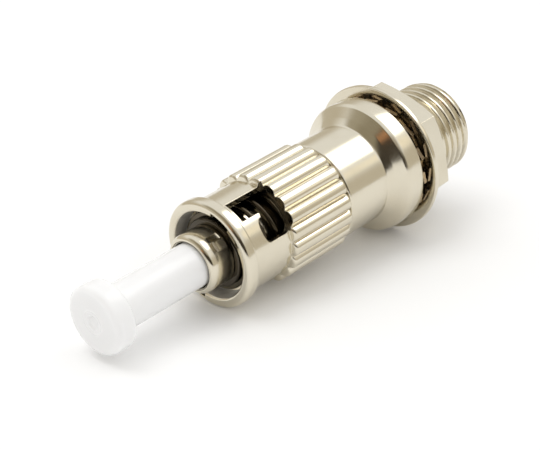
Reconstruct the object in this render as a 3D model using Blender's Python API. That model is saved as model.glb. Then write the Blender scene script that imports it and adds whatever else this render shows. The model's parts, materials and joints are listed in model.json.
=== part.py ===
"""Bayonet-to-screw fibre adapter: a male bayonet plug with its sprung coupling
nut on one end, a female M8 screw port with panel flange and nut on the other,
and a push-on dust cap over the ferrule.

Everything is turned about one axis. Lengths along it are "stations" in
millimetres, counted from the back edge of the coupling nut's lip (0) and
growing from the dust cap towards the threaded end. Angles round the axis are
in degrees from the top, growing towards the viewer's side (-Y). The finished
adapter lies on the lip of its coupling nut and on its panel washer, so the
axis is tilted by the angle that those two rims give.
"""
import math

import bmesh
import bpy
from mathutils import Matrix, Vector

MM = 0.001
RING = 48                       # facets round a large turned piece
FINE_RING = 32                  # facets round a small turned piece
HIDDEN_RING = 26                # facets round a piece inside the body

# Clearances
RUNNING = 0.06                  # radial gap of a piece that turns or slides
SEAT = 0.05                     # gap between two faces that bear on each other
SNUG = 0.04                     # radial gap of a piece that is pushed in
BREAK = 0.1                     # small chamfer on a turned edge

# Ferrule, cap tube and key barrel. Every radius grows outwards from the ferrule.
FERRULE_R = 1.25
CAP_WALL = 0.56
CAP_TUBE_R = FERRULE_R + SNUG + CAP_WALL
CAP_GAP = 0.11                  # between the cap's tube and the nose's mouth
NOSE_LIP_R = CAP_TUBE_R + CAP_GAP   # mouth of the nose, which the cap's tube enters
NOSE_WALL = 0.515
NOSE_R = NOSE_LIP_R + NOSE_WALL
FERRULE_CHAMFER = 0.3
FERRULE_FRONT = -9.6
FERRULE_BACK = 20.0
NOSE_FRONT = -3.0
NOSE_EDGE = 0.42                # rounding of the nose's outer front edge
NOSE_LIP_DEPTH = 2.2
NOSE_INNER_EDGE = 0.08
KEY_ANGLE = 45.0
KEY_WIDTH = 0.9
KEY_RISE = 0.32
KEY_FRONT = -2.05
KEY_LENGTH = 1.1
HOLDER_SHOULDER_RISE = 0.475
HOLDER_SHOULDER_R = NOSE_R + HOLDER_SHOULDER_RISE
HOLDER_SHOULDER_LENGTH = 2.0
COLLAR_LENGTH = 1.5

# Retaining clip, washers and spring in front of the body
CLIP_FRONT = -0.62
CLIP_THICKNESS = 0.4
CLIP_RISE = 0.445
CLIP_R = NOSE_R + CLIP_RISE
CLIP_GROOVE_DEPTH = 0.355
CLIP_GROOVE_R = NOSE_R - CLIP_GROOVE_DEPTH
CLIP_GAP = 60.0                 # opening of the clip, degrees
CLIP_ANGLE = 225.0
WASHER_THICKNESS = 0.35
WASHER_BAND = 0.765             # radial width of a thrust washer
SPRING_WASHER_R = NOSE_R + RUNNING + WASHER_BAND
WIRE_R = 0.22
SPRING_INSET = 0.35             # coil's middle from the thrust washers' rims
SPRING_MEAN_R = SPRING_WASHER_R - SPRING_INSET
SPRING_TURNS = 6.0
WIRE_SIDES = 6
COIL_STEPS = 14                 # sections of wire in one turn

# Coupling nut
NUT_FRONT = -1.12
NUT_ROOM = 0.25                 # round the thrust washers
NUT_BORE_R = SPRING_WASHER_R + NUT_ROOM
NUT_WALL = 0.57
NUT_R = NUT_BORE_R + NUT_WALL
LIP_RISE = 0.43
LIP_R = NUT_R + LIP_RISE
LIP_EDGE = 0.42
LIP_INNER_EDGE = 0.22
LIP_BACK = 0.0
LIP_BACK_EDGE = 0.12
LIP_NECK = 0.16                 # fillet behind the lip
KNURL_FRONT = 4.02
RIB_HEIGHT = 0.54
KNURL_R = NUT_R + RIB_HEIGHT
KNURL_RIBS = 20
RIB_POINTS = 4                  # profile points on one rib
KNURL_PHASE = 6.0               # angle of one rib's crest
KNURL_CHAMFER = 0.34
KNURL_LEAD = 0.25               # slope of the ribs' front ends
KNURL_LIFT = 0.001              # keeps the valleys just proud of the smooth part
NUT_END_RISE = 0.12
NUT_END_R = NUT_R + NUT_END_RISE    # radius that the knurl's rear chamfer ends at
NUT_BACK = 10.84
NUT_FLANGE_FRONT = 7.2          # inner flange that the spring pushes on
NUT_FLANGE_LENGTH = 1.3
PILOT_WALL = 0.865              # body's front pilot, in the nut's rear bore
PILOT_R = NOSE_R + RUNNING + PILOT_WALL

# Bayonet slots, as seen unrolled on the nut
SLOT_COUNT = 2
SLOT_FRONT = 0.45
SLOT_BACK = 4.35
SLOT_START = 10.7               # entry's first wall
SLOT_TONGUE = 38.7              # entry's second wall, the tongue's side
SLOT_END = 73.6                 # far wall of the detent pocket
TONGUE_TIP = 2.25
POCKET_FRONT = 1.53
SLOT_CORNER = 0.35
SLOT_TURN = 0.75                # rounding at the back of the pocket
ENTRY_FLOOR = 0.02
ENTRY_R = NUT_R - ENTRY_FLOOR   # depth of the lug's way in through the lip
SLOT_REACH = 2.05               # how far the slots' cutters pass the lip's rim
SLOT_CUT = (NUT_BORE_R - WASHER_BAND, LIP_R + SLOT_REACH)
ENTRY_OVERLAP = 0.3             # how far the way in runs into the slot

# Body: pilot, barrel, panel flange and threaded port
PILOT_FRONT = 9.2
BARREL_FRONT = 10.96
BARREL_STEP = 0.9
BARREL_R = PILOT_R + BARREL_STEP
PILOT_LEAD = 0.15
PILOT_LENGTH = 1.0              # of the pilot in front of the key barrel's shoulder
CONE_FRONT = 15.2
CONE_BLEND = 0.18               # softening of the corner where the cone starts
FLANGE_FRONT = 16.55
FLANGE_RISE = 1.4
FLANGE_R = BARREL_R + FLANGE_RISE
FLANGE_EDGE = 0.3
FLANGE_BACK = 18.35
THREAD_BACK = 26.9
THREAD_CHAMFER = 0.35
THREAD_PITCH = 0.75
THREAD_DEPTH = 0.4
THREAD_TURNS = 10
THREAD_FRONT = THREAD_BACK - THREAD_CHAMFER - THREAD_TURNS * THREAD_PITCH
PORT_LEAD = 0.2
PORT_KEY_WIDTH = 2.15
PORT_KEY_DEPTH = 2.6
PORT_KEY_ANGLE = 225.0

# Screw port's inside, which the thread's radius grows from
SLEEVE_WALL = 0.3
SLEEVE_R = FERRULE_R + SNUG + SLEEVE_WALL
HOUSING_WALL = 0.57
SLEEVE_HOUSING_R = SLEEVE_R + SNUG + HOUSING_WALL
RETAINER_BAND = 0.66
COLLAR_R = SLEEVE_HOUSING_R + SNUG + RETAINER_BAND
PORT_ROOM = 0.08
PORT_R = COLLAR_R + PORT_ROOM
PORT_WALL = 1.02
THREAD_R = PORT_R + PORT_WALL
PORT_KEY_OVERLAP = 0.58
PORT_KEY_CUT = (PORT_R - PORT_KEY_OVERLAP, THREAD_R + 1)    # radii of the key slot's cutter
SLEEVE_HOUSING_BASE = 1.0
SLEEVE_HOUSING_BACK = 25.3
HOUSING_EDGE = 0.2
SLEEVE_LIP = 0.35
SLEEVE_LIP_GAP = 0.09
SLEEVE_LIP_R = FERRULE_R + SLEEVE_LIP_GAP
SLEEVE_LENGTH = 9.8
SLEEVE_SLIT = 0.5
RETAINER_LENGTH = 1.2

# Panel hardware
LOCK_THICKNESS = 0.3
LOCK_SPREAD = 0.62              # overall length of the twisted teeth
LOCK_RING_WIDTH = 0.75
LOCK_RING_R = THREAD_R + LOCK_RING_WIDTH
LOCK_TOOTH_LENGTH = 0.75
LOCK_R = LOCK_RING_R + LOCK_TOOTH_LENGTH
LOCK_TEETH = 16
LOCK_TOOTH_FILL = 0.62
FLAT_WASHER_THICKNESS = 0.42
FLAT_WASHER_BAND = 2.4
FLAT_WASHER_R = THREAD_R + FLAT_WASHER_BAND
FLAT_WASHER_EDGE = 0.08
HEX_WALL = 1.03
HEX_FLATS = 2 * (THREAD_R + HEX_WALL)
HEX_THICKNESS = 2.6
HEX_CHAMFER = 0.45
HEX_ANGLE = 45.7

# Dust cap
CAP_FRONT = -13.05
CAP_HEAD_LENGTH = 1.95
CAP_HEAD_RISE = 1.1
CAP_HEAD_R = CAP_TUBE_R + CAP_HEAD_RISE
CAP_FRONT_EDGE = 0.55
CAP_BACK_EDGE = 0.4
CAP_INSERT = 0.9                # how far the tube enters the nose
CAP_END_SPACE = 0.6             # room in front of the ferrule's tip
CAP_NECK = 0.3
GATE_R = 0.45
GATE_DEPTH = 0.12


def material(name, colour, roughness, metallic=0.0):
    """Return a Principled material with one plain colour."""
    made = bpy.data.materials.new(name)
    made.use_nodes = True
    shader = made.node_tree.nodes["Principled BSDF"]
    shader.inputs["Base Color"].default_value = (*colour, 1.0)
    shader.inputs["Roughness"].default_value = roughness
    shader.inputs["Metallic"].default_value = metallic
    return made


def on_ring(station, radius, angle):
    """Point at a station and radius, angle in degrees from the top to -Y."""
    turn = math.radians(angle)
    return Vector((station, -radius * math.sin(turn), radius * math.cos(turn))) * MM


def arc(centre_s, centre_r, radius, start, end, steps=4):
    """Profile points on an arc in the (station, radius) plane."""
    return [(centre_s + radius * math.cos(math.radians(start + (end - start) * i / steps)),
             centre_r + radius * math.sin(math.radians(start + (end - start) * i / steps)))
            for i in range(steps + 1)]


def new_object(name, mesh_build, slot_material, frame):
    """Make an object from a bmesh, facing outwards, on the adapter's axis."""
    bmesh.ops.remove_doubles(mesh_build, verts=mesh_build.verts, dist=1e-7)
    bmesh.ops.recalc_face_normals(mesh_build, faces=mesh_build.faces)
    mesh = bpy.data.meshes.new(name)
    mesh_build.to_mesh(mesh)
    mesh_build.free()
    mesh.shade_smooth()
    mesh.set_sharp_from_angle(angle=math.radians(30))
    mesh.materials.append(slot_material)
    made = bpy.data.objects.new(name, mesh)
    bpy.context.scene.collection.objects.link(made)
    made.parent = frame
    return made


def ring_angles(count):
    """Vertex angles of a turned ring that has a flat facet straight down."""
    return [180.0 + (i + 0.5) * 360.0 / count for i in range(count)]


def turned_mesh(profile, count):
    """Turn a profile of (station, radius) points about the axis.

    A profile that starts and ends at radius 0 closes on the axis. Any other
    profile is a closed loop, which makes a ring.
    """
    build = bmesh.new()
    angles = ring_angles(count)
    rows = []
    for station, radius in profile:
        if radius == 0:
            rows.append([build.verts.new(on_ring(station, 0, 0))])
        else:
            rows.append([build.verts.new(on_ring(station, radius, a)) for a in angles])
    on_axis = len(rows[0]) == 1
    for i in range(len(rows) - 1 if on_axis else len(rows)):
        first, second = rows[i], rows[(i + 1) % len(rows)]
        for j in range(count):
            k = (j + 1) % count
            if len(first) == 1:
                build.faces.new((first[0], second[j], second[k]))
            elif len(second) == 1:
                build.faces.new((first[j], second[0], first[k]))
            else:
                build.faces.new((first[j], second[j], second[k], first[k]))
    return build


def turned(name, profile, slot_material, frame, count=RING):
    """Make a turned piece."""
    return new_object(name, turned_mesh(profile, count), slot_material, frame)


def prism_mesh(outline, inner, outer):
    """Solid between two radii whose sides stand on (station, angle) points."""
    build = bmesh.new()
    low = [build.verts.new(on_ring(s, inner, a)) for s, a in outline]
    high = [build.verts.new(on_ring(s, outer, a)) for s, a in outline]
    for i in range(len(outline)):
        j = (i + 1) % len(outline)
        build.faces.new((low[i], low[j], high[j], high[i]))
    caps = [build.faces.new(low), build.faces.new(high)]
    bmesh.ops.triangulate(build, faces=caps)
    return build


def box_mesh(station, length, angle, width, inner, outer):
    """Straight-sided bar that stands out radially at one angle."""
    build = bmesh.new()
    turn = Matrix.Rotation(math.radians(angle), 4, "X")
    corners = {}
    for i, s in enumerate((station, station + length)):
        for j, w in enumerate((-width / 2, width / 2)):
            for k, r in enumerate((inner, outer)):
                corners[i, j, k] = build.verts.new(turn @ (Vector((s, w, r)) * MM))
    for axis in range(3):
        for side in (0, 1):
            loop = []
            for a, b in ((0, 0), (0, 1), (1, 1), (1, 0)):
                key = [a, b]
                key.insert(axis, side)
                loop.append(corners[tuple(key)])
            build.faces.new(loop)
    return build


def boolean(target, name, mesh_build, operation="DIFFERENCE"):
    """Cut a solid from a piece, or join one to it, with an exact Boolean."""
    guide = new_object(name, mesh_build, target.data.materials[0], target.parent)
    guide.display_type = "WIRE"
    guide.hide_render = True
    step = target.modifiers.new(name, "BOOLEAN")
    step.operation = operation
    step.solver = "EXACT"
    step.object = guide
    return guide


def unroll(arc_length, radius):
    """Angle in degrees of an arc length in millimetres at a radius."""
    return math.degrees(arc_length / radius)


# Stations that follow from the sizes above
CLIP_BACK = CLIP_FRONT + CLIP_THICKNESS
FRONT_WASHER_FRONT = CLIP_BACK + SEAT
FRONT_WASHER_BACK = FRONT_WASHER_FRONT + WASHER_THICKNESS
REAR_WASHER_BACK = NUT_FLANGE_FRONT - SEAT
REAR_WASHER_FRONT = REAR_WASHER_BACK - WASHER_THICKNESS
HOLDER_SHOULDER_FRONT = PILOT_FRONT + PILOT_LENGTH
HOLDER_BACK = HOLDER_SHOULDER_FRONT + HOLDER_SHOULDER_LENGTH
COLLAR_FRONT = HOLDER_BACK + SEAT
COLLAR_BACK = COLLAR_FRONT + COLLAR_LENGTH
HOUSING_FRONT = COLLAR_BACK + SEAT
HOUSING_BASE_BACK = HOUSING_FRONT + SLEEVE_HOUSING_BASE
RETAINER_FRONT = HOUSING_BASE_BACK + SEAT
RETAINER_BACK = RETAINER_FRONT + RETAINER_LENGTH
SLEEVE_BACK = SLEEVE_HOUSING_BACK - SLEEVE_LIP - SEAT
SLEEVE_FRONT = SLEEVE_BACK - SLEEVE_LENGTH
LOCK_FRONT = FLANGE_BACK + SEAT
FLAT_WASHER_FRONT = LOCK_FRONT + LOCK_SPREAD + SEAT
FLAT_WASHER_BACK = FLAT_WASHER_FRONT + FLAT_WASHER_THICKNESS
HEX_FRONT = FLAT_WASHER_BACK + SEAT
HEX_BACK = HEX_FRONT + HEX_THICKNESS
THREAD_CLEAR_R = THREAD_R + RUNNING
CAP_HEAD_BACK = CAP_FRONT + CAP_HEAD_LENGTH
CAP_BACK = NOSE_FRONT + CAP_INSERT


def make_ferrule(ceramic, frame):
    """Ceramic ferrule, chamfered at both tips."""
    tip = FERRULE_R - FERRULE_CHAMFER
    turned("ferrule", [(FERRULE_FRONT, 0), (FERRULE_FRONT, tip),
                       (FERRULE_FRONT + FERRULE_CHAMFER, FERRULE_R),
                       (FERRULE_BACK - FERRULE_CHAMFER, FERRULE_R),
                       (FERRULE_BACK, tip), (FERRULE_BACK, 0)], ceramic, frame, HIDDEN_RING)


def make_holder(nickel, frame):
    """Key barrel round the ferrule: nose, key, clip groove and rear shoulder."""
    bore = FERRULE_R + SNUG
    groove_front = CLIP_FRONT - SEAT
    groove_back = CLIP_BACK + SEAT
    profile = [(NOSE_FRONT, NOSE_LIP_R + NOSE_INNER_EDGE)]
    profile += arc(NOSE_FRONT + NOSE_EDGE, NOSE_R - NOSE_EDGE, NOSE_EDGE, 180, 90)
    profile += [(groove_front, NOSE_R), (groove_front, CLIP_GROOVE_R),
                (groove_back, CLIP_GROOVE_R), (groove_back, NOSE_R),
                (HOLDER_SHOULDER_FRONT, NOSE_R), (HOLDER_SHOULDER_FRONT, HOLDER_SHOULDER_R),
                (HOLDER_BACK, HOLDER_SHOULDER_R), (HOLDER_BACK, bore),
                (NOSE_FRONT + NOSE_LIP_DEPTH, bore), (NOSE_FRONT + NOSE_LIP_DEPTH, NOSE_LIP_R),
                (NOSE_FRONT + NOSE_INNER_EDGE, NOSE_LIP_R)]
    holder = turned("key_barrel", profile, nickel, frame, FINE_RING)
    key = box_mesh(KEY_FRONT, KEY_LENGTH, KEY_ANGLE, KEY_WIDTH,
                   (NOSE_LIP_R + NOSE_R) / 2, NOSE_R + KEY_RISE)
    boolean(holder, "key_shape", key, "UNION")


def make_collar(nickel, frame):
    """Collar that is pressed on the ferrule and clamps it in the body."""
    bore = FERRULE_R + SNUG
    turned("ferrule_collar", [(COLLAR_FRONT, bore), (COLLAR_FRONT, COLLAR_R),
                              (COLLAR_BACK, COLLAR_R), (COLLAR_BACK, bore)],
           nickel, frame, HIDDEN_RING)


def make_clip(steel, frame):
    """Open retaining ring in the key barrel's groove."""
    inner = CLIP_GROOVE_R + SNUG
    sides = HIDDEN_RING
    build = bmesh.new()
    start = CLIP_ANGLE + CLIP_GAP / 2
    span = 360.0 - CLIP_GAP
    rows = []
    for i in range(sides + 1):
        angle = start + span * i / sides
        rows.append([build.verts.new(on_ring(s, r, angle)) for s, r in
                     ((CLIP_FRONT, inner), (CLIP_FRONT, CLIP_R),
                      (CLIP_BACK, CLIP_R), (CLIP_BACK, inner))])
    for first, second in zip(rows, rows[1:]):
        for j in range(4):
            k = (j + 1) % 4
            build.faces.new((first[j], first[k], second[k], second[j]))
    build.faces.new(rows[0])
    build.faces.new(rows[-1])
    new_object("retaining_clip", build, steel, frame)


def make_spring_washers(steel, frame):
    """Thrust washers at the two ends of the coupling spring."""
    bore = NOSE_R + RUNNING
    for name, front in (("front_spring_washer", FRONT_WASHER_FRONT),
                        ("rear_spring_washer", REAR_WASHER_FRONT)):
        back = front + WASHER_THICKNESS
        turned(name, [(front, bore), (front, SPRING_WASHER_R),
                      (back, SPRING_WASHER_R), (back, bore)], steel, frame, HIDDEN_RING)


def make_spring(steel, frame):
    """Compression spring with closed ends, between the two thrust washers."""
    first = FRONT_WASHER_BACK + SEAT + WIRE_R
    last = REAR_WASHER_FRONT - SEAT - WIRE_R
    dead_rise = 2 * WIRE_R + SEAT
    active = SPRING_TURNS - 2
    pitch = (last - first - 2 * dead_rise) / active
    build = bmesh.new()
    rows = []
    steps = int(SPRING_TURNS * COIL_STEPS)
    for i in range(steps + 1):
        turn = i / COIL_STEPS
        dead = min(turn, 1) + max(turn - SPRING_TURNS + 1, 0)
        station = first + dead * dead_rise + (turn - dead) * pitch
        row = []
        for j in range(WIRE_SIDES):
            around = math.tau * j / WIRE_SIDES
            row.append(build.verts.new(on_ring(station + WIRE_R * math.cos(around),
                                               SPRING_MEAN_R + WIRE_R * math.sin(around),
                                               turn * 360.0)))
        rows.append(row)
    for a, b in zip(rows, rows[1:]):
        for j in range(WIRE_SIDES):
            k = (j + 1) % WIRE_SIDES
            build.faces.new((a[j], a[k], b[k], b[j]))
    build.faces.new(rows[0])
    build.faces.new(rows[-1])
    new_object("coupling_spring", build, steel, frame)


def rib_radius(angle):
    """Radius of the knurl at an angle: round ribs with narrow valleys."""
    phase = ((angle - KNURL_PHASE) * KNURL_RIBS / 360.0) % 1.0
    off_crest = min(phase, 1.0 - phase) * 2.0
    shape = math.cos(math.pi / 2 * off_crest ** 1.6)
    return NUT_R + (KNURL_R - NUT_R) * shape


def nut_mesh():
    """Coupling nut before its slots: lip, smooth front, knurl and inner flange."""
    count = KNURL_RIBS * RIB_POINTS
    angles = [KNURL_PHASE + 360.0 * i / count for i in range(count)]
    flange_back = NUT_FLANGE_FRONT + NUT_FLANGE_LENGTH
    flange_bore = NOSE_R + RUNNING
    rear_bore = PILOT_R + RUNNING
    round_rows = [(NUT_FRONT + LIP_INNER_EDGE, NUT_BORE_R)]
    round_rows += [(NUT_FRONT, NUT_BORE_R + LIP_INNER_EDGE)]
    round_rows += arc(NUT_FRONT + LIP_EDGE, LIP_R - LIP_EDGE, LIP_EDGE, 180, 90, 3)
    round_rows += arc(LIP_BACK - LIP_BACK_EDGE, LIP_R - LIP_BACK_EDGE, LIP_BACK_EDGE, 90, 0, 2)
    round_rows += arc(LIP_BACK + LIP_NECK, NUT_R + LIP_NECK, LIP_NECK, 180, 270, 2)
    round_rows += [(KNURL_FRONT, NUT_R)]
    rows = [[(s, r, a) for a in angles] for s, r in round_rows]
    ribs = [(rib_radius(a), a) for a in angles]
    rows.append([(KNURL_FRONT + KNURL_LEAD * (r - NUT_R), r + KNURL_LIFT, a) for r, a in ribs])
    rows.append([(NUT_BACK - KNURL_CHAMFER, r + KNURL_LIFT, a) for r, a in ribs])
    rows.append([(NUT_BACK, min(r, NUT_END_R), a) for r, a in ribs])
    inner_rows = [(NUT_BACK, rear_bore + BREAK), (NUT_BACK - BREAK, rear_bore),
                  (flange_back, rear_bore), (flange_back, flange_bore),
                  (NUT_FLANGE_FRONT, flange_bore), (NUT_FLANGE_FRONT, NUT_BORE_R)]
    rows += [[(s, r, a) for a in angles] for s, r in inner_rows]
    build = bmesh.new()
    verts = [[build.verts.new(on_ring(*point)) for point in row] for row in rows]
    for i in range(len(verts)):
        first, second = verts[i], verts[(i + 1) % len(verts)]
        for j in range(count):
            k = (j + 1) % count
            build.faces.new((first[j], second[j], second[k], first[k]))
    return build


def slot_outline(start):
    """Unrolled outline of one bayonet slot as (station, angle) points.

    The lug enters at the front between the first wall and the tongue, runs
    past the tongue's tip and drops forward into the round detent pocket.
    """
    corner = unroll(SLOT_CORNER, NUT_R)
    tongue = start + SLOT_TONGUE - SLOT_START
    end = start + SLOT_END - SLOT_START
    outline = [(SLOT_FRONT, tongue), (SLOT_FRONT, start), (SLOT_BACK, start)]
    turn_start = end - unroll(SLOT_TURN, NUT_R)
    outline += [(SLOT_BACK, start + (turn_start - start) * i / 5) for i in range(1, 6)]
    outline += [(SLOT_BACK - SLOT_TURN * (1 - math.cos(math.radians(t))),
                 turn_start + (end - turn_start) * math.sin(math.radians(t)))
                for t in (30, 60, 90)]
    pocket_half = (end - tongue) / 2 - corner * 0.4
    middle = end - pocket_half
    depth = TONGUE_TIP - POCKET_FRONT
    for i in range(9):
        turn = math.pi * i / 8
        outline.append((TONGUE_TIP - 0.1 - (depth - 0.1) * math.sin(turn) ** 0.8,
                        middle + pocket_half * math.cos(turn) * (1.0 if i < 5 else 0.9)))
    outline += [(TONGUE_TIP, tongue + 0.25 * corner), (TONGUE_TIP - 0.12, tongue)]
    return outline


def make_coupling_nut(nickel, frame):
    """Bayonet coupling nut with two slots and the lugs' way in."""
    nut = new_object("coupling_nut", nut_mesh(), nickel, frame)
    for i in range(SLOT_COUNT):
        shift = 360.0 / SLOT_COUNT * i
        outline = slot_outline(SLOT_START + shift)
        boolean(nut, f"slot_shape_{i + 1}", prism_mesh(outline, *SLOT_CUT))
        start, end = SLOT_START + shift, SLOT_TONGUE + shift
        back = SLOT_FRONT + ENTRY_OVERLAP
        edge = [(NUT_FRONT - ENTRY_OVERLAP, start + (end - start) * j / 4) for j in range(5)]
        entry = edge + [(back, angle) for _, angle in reversed(edge)]
        boolean(nut, f"entry_shape_{i + 1}", prism_mesh(entry, SLOT_CUT[0], ENTRY_R))


def threaded_mesh(before, after, count):
    """Turn two profiles about the axis and join them by a screw thread.

    The thread's rows are crests and roots by turns. Each climbs one pitch in a
    turn, so the end of a row meets the start of the second row behind it.
    """
    build = bmesh.new()
    angles = ring_angles(count)
    fronts, backs = ([[build.verts.new(on_ring(s, r, a)) for a in angles] for s, r in profile]
                     for profile in (before, after))
    start = before[-1][0]
    rows = []
    for i in range(2 * THREAD_TURNS - 1):
        radius = THREAD_R - THREAD_DEPTH * (i % 2)
        rows.append([build.verts.new(on_ring(start + THREAD_PITCH * (i / 2 + j / count), radius, a))
                     for j, a in enumerate(angles)])
    build.verts.remove(rows[0][0])
    rows[0][0] = fronts[-1][0]
    for rings in (fronts, backs):
        for first, second in zip(rings, rings[1:]):
            for j in range(count):
                k = (j + 1) % count
                build.faces.new((first[j], second[j], second[k], first[k]))
    for j in range(count):
        k = (j + 1) % count
        build.faces.new((backs[-1][j], fronts[0][j], fronts[0][k], backs[-1][k]))
    for j in range(count - 1):
        for first, second in zip([fronts[-1]] + rows, rows + [backs[0]]):
            corners = [first[j], second[j], second[j + 1], first[j + 1]]
            build.faces.new(dict.fromkeys(corners))
    seams = [build.faces.new((rows[i][-1], rows[i + 1][-1], rows[i + 3][0], rows[i + 2][0]))
             for i in range(len(rows) - 3)]
    seams.append(build.faces.new((fronts[-1][-1], rows[0][-1], rows[2][0], rows[1][0],
                                  fronts[-1][0])))
    seams.append(build.faces.new((rows[-3][-1], rows[-2][-1], rows[-1][-1], backs[0][-1],
                                  backs[0][0], rows[-1][0])))
    bmesh.ops.triangulate(build, faces=seams)
    return build


def make_body(nickel, frame):
    """Body: front pilot, barrel, coned panel flange and threaded port."""
    bore = NOSE_R + RUNNING
    wide = max(HOLDER_SHOULDER_R, COLLAR_R) + SNUG
    profile = [(PILOT_FRONT, bore), (PILOT_FRONT, PILOT_R - PILOT_LEAD),
               (PILOT_FRONT + PILOT_LEAD, PILOT_R), (BARREL_FRONT, PILOT_R),
               (BARREL_FRONT, BARREL_R - BREAK),
               (BARREL_FRONT + BREAK, BARREL_R), (CONE_FRONT, BARREL_R)]
    slope = math.atan2(FLANGE_R - FLANGE_EDGE - BARREL_R, FLANGE_FRONT - CONE_FRONT)
    profile += [(CONE_FRONT + CONE_BLEND, BARREL_R + CONE_BLEND / 2)]
    profile += [(FLANGE_FRONT, FLANGE_R - FLANGE_EDGE)]
    profile += arc(FLANGE_FRONT + FLANGE_EDGE, FLANGE_R - FLANGE_EDGE, FLANGE_EDGE,
                   180 - math.degrees(slope) / 2, 90, 3)
    profile += [(FLANGE_BACK - BREAK, FLANGE_R), (FLANGE_BACK, FLANGE_R - BREAK),
                (FLANGE_BACK, THREAD_R), (THREAD_FRONT, THREAD_R)]
    port = [(THREAD_BACK - THREAD_CHAMFER, THREAD_R), (THREAD_BACK, THREAD_R - THREAD_CHAMFER),
            (THREAD_BACK, PORT_R + PORT_LEAD), (THREAD_BACK - PORT_LEAD, PORT_R),
            (RETAINER_BACK, PORT_R), (RETAINER_BACK, wide),
            (HOLDER_SHOULDER_FRONT - SEAT, wide), (HOLDER_SHOULDER_FRONT - SEAT, bore)]
    body = new_object("adapter_body", threaded_mesh(profile, port, RING), nickel, frame)
    key = box_mesh(THREAD_BACK - PORT_KEY_DEPTH, PORT_KEY_DEPTH * 2, PORT_KEY_ANGLE,
                   PORT_KEY_WIDTH, *PORT_KEY_CUT)
    boolean(body, "port_key_shape", key)


def make_lock_washer(steel, frame):
    """External-tooth lock washer with twisted teeth."""
    inner = THREAD_CLEAR_R + SNUG
    middle = LOCK_FRONT + LOCK_SPREAD / 2
    front, back = middle - LOCK_THICKNESS / 2, middle + LOCK_THICKNESS / 2
    twist = (LOCK_SPREAD - LOCK_THICKNESS) / 2
    pitch = 360.0 / LOCK_TEETH
    root_half = pitch * LOCK_TOOTH_FILL / 2
    build = bmesh.new()
    rows = []
    for i in range(LOCK_TEETH):
        centre = i * pitch
        for angle, radius, lift in ((-root_half, LOCK_RING_R, 0), (-root_half, LOCK_R, twist),
                                    (root_half, LOCK_R, -twist), (root_half, LOCK_RING_R, 0)):
            a = centre + angle
            rows.append([build.verts.new(on_ring(s, r, a)) for s, r in
                         ((front, inner), (front + lift, radius),
                          (back + lift, radius), (back, inner))])
    count = len(rows)
    for i in range(count):
        first, second = rows[i], rows[(i + 1) % count]
        for j in range(4):
            k = (j + 1) % 4
            build.faces.new((first[j], first[k], second[k], second[j]))
    new_object("lock_washer", build, steel, frame)


def make_flat_washer(nickel, frame):
    """Flat washer between the lock washer and the hexagon nut."""
    edge = FLAT_WASHER_EDGE
    turned("flat_washer", [(FLAT_WASHER_FRONT, THREAD_CLEAR_R),
                           (FLAT_WASHER_FRONT, FLAT_WASHER_R - edge),
                           (FLAT_WASHER_FRONT + edge, FLAT_WASHER_R),
                           (FLAT_WASHER_BACK - edge, FLAT_WASHER_R),
                           (FLAT_WASHER_BACK, FLAT_WASHER_R - edge),
                           (FLAT_WASHER_BACK, THREAD_CLEAR_R)], nickel, frame)


def make_hex_nut(nickel, frame):
    """Hexagon panel nut, chamfered on both faces by cones."""
    corner = HEX_FLATS / 2 / math.cos(math.radians(30))
    face_r = HEX_FLATS / 2 - BREAK
    cone_r = corner + RUNNING
    cone = [(HEX_FRONT, THREAD_CLEAR_R), (HEX_FRONT, face_r),
            (HEX_FRONT + HEX_CHAMFER, cone_r), (HEX_BACK - HEX_CHAMFER, cone_r),
            (HEX_BACK, face_r), (HEX_BACK, THREAD_CLEAR_R)]
    nut = turned("hex_nut", cone, nickel, frame)
    build = bmesh.new()
    rows = [[build.verts.new(on_ring(s, corner, HEX_ANGLE + 60 * i)) for i in range(6)]
            for s in (HEX_FRONT - 1, HEX_BACK + 1)]
    for i in range(6):
        j = (i + 1) % 6
        build.faces.new((rows[0][i], rows[0][j], rows[1][j], rows[1][i]))
    build.faces.new(rows[0])
    build.faces.new(rows[1])
    boolean(nut, "hexagon_shape", build, "INTERSECT")


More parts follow.
